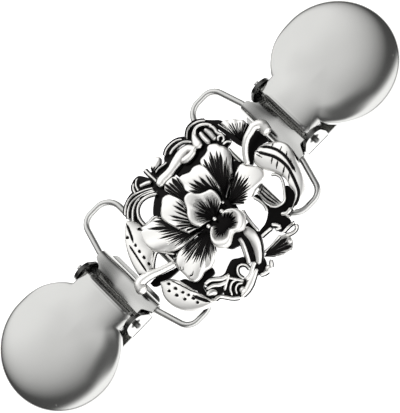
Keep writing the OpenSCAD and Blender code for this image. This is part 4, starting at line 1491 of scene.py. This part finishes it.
WEBS: list[Web] = [
    # Upper left: under the strands, the bud and beside the opening
    Web([(-12.1, 10.09), (-10.8, 11.48), (-9.0, 12.72), (-7.5, 13.25), (-6.0, 12.75), (-4.4, 11.28), (-2.6,
        9.26), (-3.6, 8.91), (-5.0, 9.26), (-6.4, 9.6), (-8.0, 9.48), (-9.2, 8.51), (-9.9, 7.15), (-10.1,
        5.54), (-10.6, 5.52), (-10.9, 7.11), (-11.4, 8.3)]),
    Web([(-7.7, 12.52), (-7.2, 14.11), (-6.2, 15.1), (-5.0, 15.3), (-4.1, 14.89), (-3.3, 13.34), (-2.8,
        11.8), (-2.8, 9.74), (-4.6, 11.02), (-6.2, 12.04)]),
    Web([(-8.1, 5.33), (-7.3, 6.47), (-5.6, 7.92), (-4.2, 8.68), (-2.6, 9.26), (-2.2, 7.51), (-3.6, 5.08),
        (-6.2, 3.86), (-8.2, 1.99), (-8.4, 4.0)]),
    # Upper right: beside and above the ribbon
    Web([(-2.2, 13.57), (-1.9, 11.54), (-0.6, 10.77), (0.8, 10.77), (2.2, 11.28), (3.6, 11.92), (4.8,
        12.52), (4.6, 13.69), (3.0, 13.92), (2.0, 13.81), (1.2, 12.87), (0.2, 13.22), (-1.0, 13.57)]),
    Web([(2.0, 13.81), (3.2, 14.68), (4.6, 15.3), (6.2, 15.1), (7.4, 14.17), (8.1, 12.98), (8.3, 11.21),
        (7.6, 11.11), (6.8, 12.58), (5.6, 12.87), (4.4, 12.52), (3.4, 12.52), (2.2, 12.75)]),
    Web([(7.9, 13.37), (9.2, 14.05), (10.6, 13.86), (12.2, 13.19), (13.4, 11.69), (14.3, 10.59), (15.3,
        9.49), (15.8, 8.09), (16.0, 6.49), (17.0, 5.29), (18.7, 4.89), (18.3, 3.59), (16.4, 2.49), (14.9,
        1.59), (14.3, 2.89), (14.0, 4.69), (13.9, 7.29), (13.4, 9.49), (12.4, 11.19), (11.2, 11.74), (10.2,
        11.47), (9.6, 10.08), (9.0, 11.29), (8.4, 11.42)]),
    Web([(1.3, 6.9), (1.4, 9.03), (3.4, 9.48), (5.2, 8.8), (7.2, 8.99), (9.2, 9.36), (10.0, 11.09), (11.6,
        11.5), (12.8, 9.89), (13.6, 7.89), (14.0, 5.49), (13.4, 4.39), (12.3, 4.49), (11.6, 5.9), (9.8,
        6.96), (6.4, 6.09), (3.2, 6.09)]),
    # Right: below the tendril and round the opening
    Web([(12.9, -1.31), (14.2, 0.49), (15.6, 1.49), (17.0, 2.19), (18.8, 2.29), (19.4, 0.89), (19.0, -0.91),
        (17.6, -0.61), (16.0, -0.61), (14.4, -1.51), (13.4, -2.11)]),
    Web([(11.2, 1.3), (12.3, 2.49), (12.5, 4.19), (12.0, 4.49), (11.6, 3.1), (10.2, 1.22), (8.6, -0.4),
        (9.6, -1.22), (11.0, -0.06), (12.3, -0.5), (12.2, 0.69)]),
    # Left: below the tendril
    Web([(-18.0, -3.91), (-16.4, -3.91), (-14.6, -4.61), (-12.8, -5.31), (-11.6, -5.7), (-11.9, -6.3),
        (-14.0, -6.21), (-15.6, -5.91), (-17.2, -5.61), (-18.0, -4.91)]),
    # Lower left: below the petal and between the scrolls
    Web([(-13.5, -7.91), (-12.4, -8.6), (-11.7, -10.09), (-10.4, -10.61), (-8.6, -10.28), (-7.1, -10.55),
        (-7.4, -11.81), (-8.6, -11.9), (-9.6, -11.76), (-10.8, -12.14), (-11.4, -13.17), (-11.8, -15.66),
        (-12.8, -14.3), (-12.5, -12.09), (-13.3, -10.31)]),
    Web([(-9.4, -11.83), (-8.6, -12.17), (-7.4, -12.88), (-6.2, -13.23), (-4.6, -12.7), (-3.2, -12.43),
        (-2.0, -13.14), (-1.1, -13.75), (-1.6, -15.33), (-2.1, -16.4), (-2.4, -15.16), (-3.2, -14.54),
        (-4.0, -14.98), (-4.1, -16.58), (-5.2, -15.33), (-6.4, -14.63), (-8.0, -15.51), (-9.0, -15.53),
        (-10.6, -15.47), (-11.6, -15.13), (-11.0, -13.3), (-10.2, -12.45)]),
    Web([(-9.4, -15.94), (-8.4, -15.24), (-6.6, -14.89), (-5.2, -15.51), (-4.2, -16.58), (-4.4, -17.29),
        (-5.6, -18.01), (-6.8, -18.55), (-8.2, -17.83)]),
    Web([(-3.2, -17.29), (-1.0, -16.4), (0.8, -16.04), (1.6, -16.4), (0.8, -17.83), (-1.0, -18.19)]),
    # Between the stems: blackened ground, and just below the lip a painted shadow of the lip
    Web([(-2.4, -10.02), (-0.2, -9.45), (1.0, -9.26), (2.6, -9.84), (4.6, -9.84), (4.8, -11.45), (4.4,
        -13.05), (3.4, -14.63), (2.0, -16.04), (0.2, -17.29), (-1.0, -16.75), (-0.6, -15.16), (0.0, -13.75),
        (0.2, -11.99), (-0.6, -11.45), (-1.6, -11.09)]),
    # Lower right: round both openings
    Web([(8.8, -6.89), (9.8, -7.1), (9.6, -9.27), (9.8, -10.58), (10.6, -11.75), (12.2, -12.38), (13.4,
        -11.61), (14.2, -10.51), (15.0, -10.11), (15.6, -11.91), (14.4, -13.41), (12.8, -14.1), (11.0,
        -13.68), (10.7, -15.4), (10.2, -15.84), (8.4, -15.6), (7.4, -15.24), (7.2, -13.93), (5.6, -13.84),
        (4.2, -13.4), (4.4, -12.52), (6.6, -12.25), (8.2, -11.45), (8.9, -10.47)]),
]

TENDRILS: list[Strand] = [
    Strand([(12.6, -1.9, 5.4), (13.6, -0.4, 5.9), (15.0, 0.9, 6.5), (16.4, 1.7, 6.9), (17.8, 2.0, 7.1),
        (19.2, 2.2, 7.2), (20.4, 1.4, 7.0), (20.2, 0.3, 6.6), (19.9, -0.8, 6.3)], (0.6, 0.62, 0.7, 0.8,
        0.92, 1.15, 1.3), 0.0, roundness=1.0),
    Strand([(-11.6, -5.2, 5.4), (-14.4, -4.4, 6.2), (-17.0, -3.5, 6.8), (-19.2, -3.2, 6.8), (-19.9, -4.2,
        6.6), (-20.4, -5.2, 6.4)], (0.72, 0.76, 0.84, 1.0, 1.2, 1.3), 0.0, roundness=1.0),
]

# Beads and stamens as centre and radius
BEADS: list[tuple[Point, float]] = [
    ((0.7, -18.9, 1.6), 0.8), ((7.4, -18.2, 1.8), 0.5), ((-6.0, -18.0, 1.4), 0.72),
]
STAMENS: list[tuple[Point, float]] = [
    ((-1.6, -5.2, 6.6), 0.45), ((0.3, -5.1, 6.8), 0.4), ((2.4, -5.0, 6.6), 0.45), ((3.8, -3.9, 6.6), 0.3),
]


@dataclass(frozen=True)
class FlowerCasting:
    """The pierced casting: petals, leaves, stems, beads and the dark webs between them."""

    body: str = "casting"

    def heart(self) -> Shape:
        """The blackened boss that carries the petals.

        Returns:
            The boss.
        """
        profile = [(0.1, 3.85), (5.0, 3.85), (5.0, 4.5), (4.2, 5.0), (2.6, 5.3), (0.1, 5.4)]
        boss = lathe(profile, 40)
        boss.points = boss.points + np.array([0.4, -4.6, 0.0])
        boss.tarnish_and_shade[:] = 1.0
        return boss

    def stamen(self, tip: Point, radius: float) -> Shape:
        """A stalk out of the heart with a bead on its end.

        Args:
            tip: centre of the bead.
            radius: radius of the bead.

        Returns:
            The stamen.
        """
        x, y, z = tip
        stalk = Strand([(x, y - 0.6, 4.9), (x, y - 0.4, (z + 4.9) / 2), (x, y, z)], (radius * 0.5,), 0.0)
        stem = stalk.shape()
        stem.tarnish_and_shade[:] = 0.8
        return Shape.joined([stem, ball(tip, radius)])

    def build(self, silver: bpy.types.Material) -> None:
        """Builds and dresses the casting.

        Args:
            silver: the antique silver finish.

        Returns:
            None.
        """
        pieces = {f"flower_{name}": sheet.shape() for name, sheet in (PETALS | LEAVES).items()}
        pieces["flower_stems"] = Shape.joined([s.shape() for s in STRANDS])
        pieces["flower_tendrils"] = Shape.joined([s.shape() for s in TENDRILS])
        pieces["flower_beads"] = Shape.joined([ball(c, r) for c, r in BEADS])
        pieces["flower_stamens"] = Shape.joined([self.stamen(c, r) for c, r in STAMENS])
        pieces["flower_webs"] = Shape.joined([w.shape() for w in WEBS] + [self.heart()])
        made = {
            name: make_piece(name, shape, self.body, silver) for name, shape in pieces.items()
        }
        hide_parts("flower")


# ---- studio


@dataclass(frozen=True)
class Studio:
    """A pale floor, soft light all round and the camera at the photo's angle."""

    # Right, up and back axes of the camera, turned by these angles about Z, X and Y
    turn_deg: float = 45.79
    lean_deg: float = -18.1
    roll_deg: float = -0.96
    shift_x: float = 0.8
    shift_y: float = -0.69
    distance: float = 602.0
    lens: float = 259.5
    sensor: float = 36.0
    floor_size: float = 4000.0
    floor_glow: float = 1.05
    # The tent's lit wall: its direction, how far toward it a way must point for the first and for the
    # full light, how the light grows in between, and the least and the most light
    wall_way: Point = (0.0, 0.77, 0.64)
    wall_toward: Range = (0.47, 0.9)
    wall_growth: float = 1.35
    wall_light: Range = (0.115, 1.56)
    # The strip of light low at -Y: where it is full and where it ends, and how bright it is
    strip_y: Range = (-0.62, -0.27)
    strip_light: float = 1.75
    # The table's edge, the share of the tent's light that is left below it, and the table's light
    edge_z: Range = (-0.06, 0.08)
    below: float = 0.15
    table_z: Range = (-0.55, -0.08)
    table_light: float = 2.0
    # What the camera sees of the tent itself
    backdrop: float = 0.95

    def camera_rotation(self) -> Matrix:
        """Rotation from the part's frame to the camera's.

        Returns:
            A 3 by 3 matrix.
        """
        about_z = Matrix.Rotation(math.radians(self.turn_deg), 3, "Z")
        about_x = Matrix.Rotation(math.radians(self.lean_deg), 3, "X")
        about_y = Matrix.Rotation(math.radians(self.roll_deg), 3, "Y")
        return about_z @ about_x @ about_y

    def camera(self) -> None:
        """Places the camera and makes it the scene's.

        Returns:
            None.
        """
        data = bpy.data.cameras.new("camera")
        data.lens = self.lens
        data.sensor_width = self.sensor
        data.clip_start, data.clip_end = 0.01, 20.0
        camera = bpy.data.objects.new("camera", data)
        to_camera = self.camera_rotation()
        to_part = to_camera.transposed()
        place = -(to_part @ Vector((self.shift_x, self.shift_y, -self.distance)))
        place.y += AXIS_Y
        camera.matrix_world = Matrix.Translation(place * MM) @ to_part.to_4x4()
        bpy.context.scene.collection.objects.link(camera)
        bpy.context.scene.camera = camera

    def floor(self) -> None:
        """Lays a pale glowing sheet, as on a light table.

        Returns:
            None.
        """
        half = self.floor_size / 2 * MM
        mesh = bpy.data.meshes.new("floor")
        corners = [(-half, -half, 0.0), (half, -half, 0.0), (half, half, 0.0), (-half, half, 0.0)]
        mesh.from_pydata(corners, [], [(0, 1, 2, 3)])
        material, tree = new_material("opal_acrylic_light_table")
        opal = add_node(
            tree,
            "BsdfPrincipled",
            {
                "Base Color": linear("E6E6E6"),
                "Roughness": 0.6,
                "Emission Color": linear("FFFFFF"),
                "Emission Strength": self.floor_glow,
            },
        )
        add_node(tree, "OutputMaterial", {"Surface": opal.outputs[0]})
        mesh.materials.append(material)
        floor = bpy.data.objects.new("floor", mesh)
        floor.location.z = -0.05 * MM
        # Its own glow stays out of the metal's reflections, which see a dark table instead
        floor.visible_glossy = False
        bpy.context.scene.collection.objects.link(floor)

    def world(self) -> None:
        """Wraps the part in a white tent with a dark opening for the camera and a light table below.

        Returns:
            None.
        """
        world = bpy.data.worlds.new("light_tent")
        bpy.context.scene.world = world
        world.use_nodes = True
        tree = world.node_tree
        tree.nodes.clear()
        way = add_node(tree, "TexCoord").outputs["Generated"]
        split = add_node(tree, "SeparateXYZ", {0: way})
        toward = add_node(tree, "VectorMath", {0: way, 1: self.wall_way}, operation="DOT_PRODUCT")
        first, full = self.wall_toward
        spread = add_node(
            tree, "MapRange", {"Value": toward.outputs["Value"], FROM_MIN: first, FROM_MAX: full}
        ).outputs[0]
        grown = add_node(tree, "Math", {0: spread, 1: self.wall_growth}, operation="POWER").outputs[0]
        least, most = self.wall_light
        seen = add_node(tree, "MapRange", {"Value": grown, TO_MIN: least, TO_MAX: most}).outputs[0]
        # The strip adds to the wall, the table's edge dims what is below it, and the table adds to that
        layers = (
            ("Y", self.strip_y, (self.strip_light, 0.0), "ADD"),
            ("Z", self.edge_z, (self.below, 1.0), "MULTIPLY"),
            ("Z", self.table_z, (self.table_light, 0.0), "ADD"),
        )
        for axis, (low, high), (at_low, at_high), how in layers:
            ends = {FROM_MIN: low, FROM_MAX: high, TO_MIN: at_low, TO_MAX: at_high}
            layer = add_node(
                tree, "MapRange", {"Value": split.outputs[axis]} | ends, interpolation_type="SMOOTHSTEP"
            ).outputs[0]
            seen = add_node(tree, "Math", {0: seen, 1: layer}, operation=how).outputs[0]
        direct = add_node(tree, "LightPath").outputs["Is Camera Ray"]
        shown = add_node(
            tree, "Mix", {"Factor": direct, VALUE_A: seen, VALUE_B: self.backdrop}, data_type="FLOAT"
        ).outputs[0]
        light = add_node(tree, "Background", {"Color": linear("FFFFFF"), "Strength": shown})
        add_node(tree, "OutputWorld", {"Surface": light.outputs[0]})

    def build(self) -> None:
        """Builds the studio and sets plain colour handling.

        Returns:
            None.
        """
        self.camera()
        self.floor()
        self.world()
        view = bpy.context.scene.view_settings
        view.view_transform = "Standard"
        view.look = "None"


def main() -> None:
    """Builds the whole scene.

    Returns:
        None.
    """
    logging.basicConfig(level=logging.INFO, format="%(message)s")
    satin = NickelPlate("satin_nickel_plate_on_pressed_steel", "BBBBB9", "B1B1AF", roughness=0.19).material()
    plain = NickelPlate("rolled_nickel_plate", "B8B8B6", "AAAAA8", roughness=0.20, stretch=9.0).material()
    bright = NickelPlate("bright_nickel_plate_on_drawn_wire", "C6C6C4", "BCBCBA", roughness=0.27).material()
    silver = AntiqueSilver().material()
    Studio().build()
    for side in Side:
        LeverClip(side).build(satin, bright, plain)
    FlowerCasting().build(silver)
    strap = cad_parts["back_strap"]
    strap.data.materials.clear()
    strap.data.materials.append(plain)


if __name__ == "__main__":
    main()
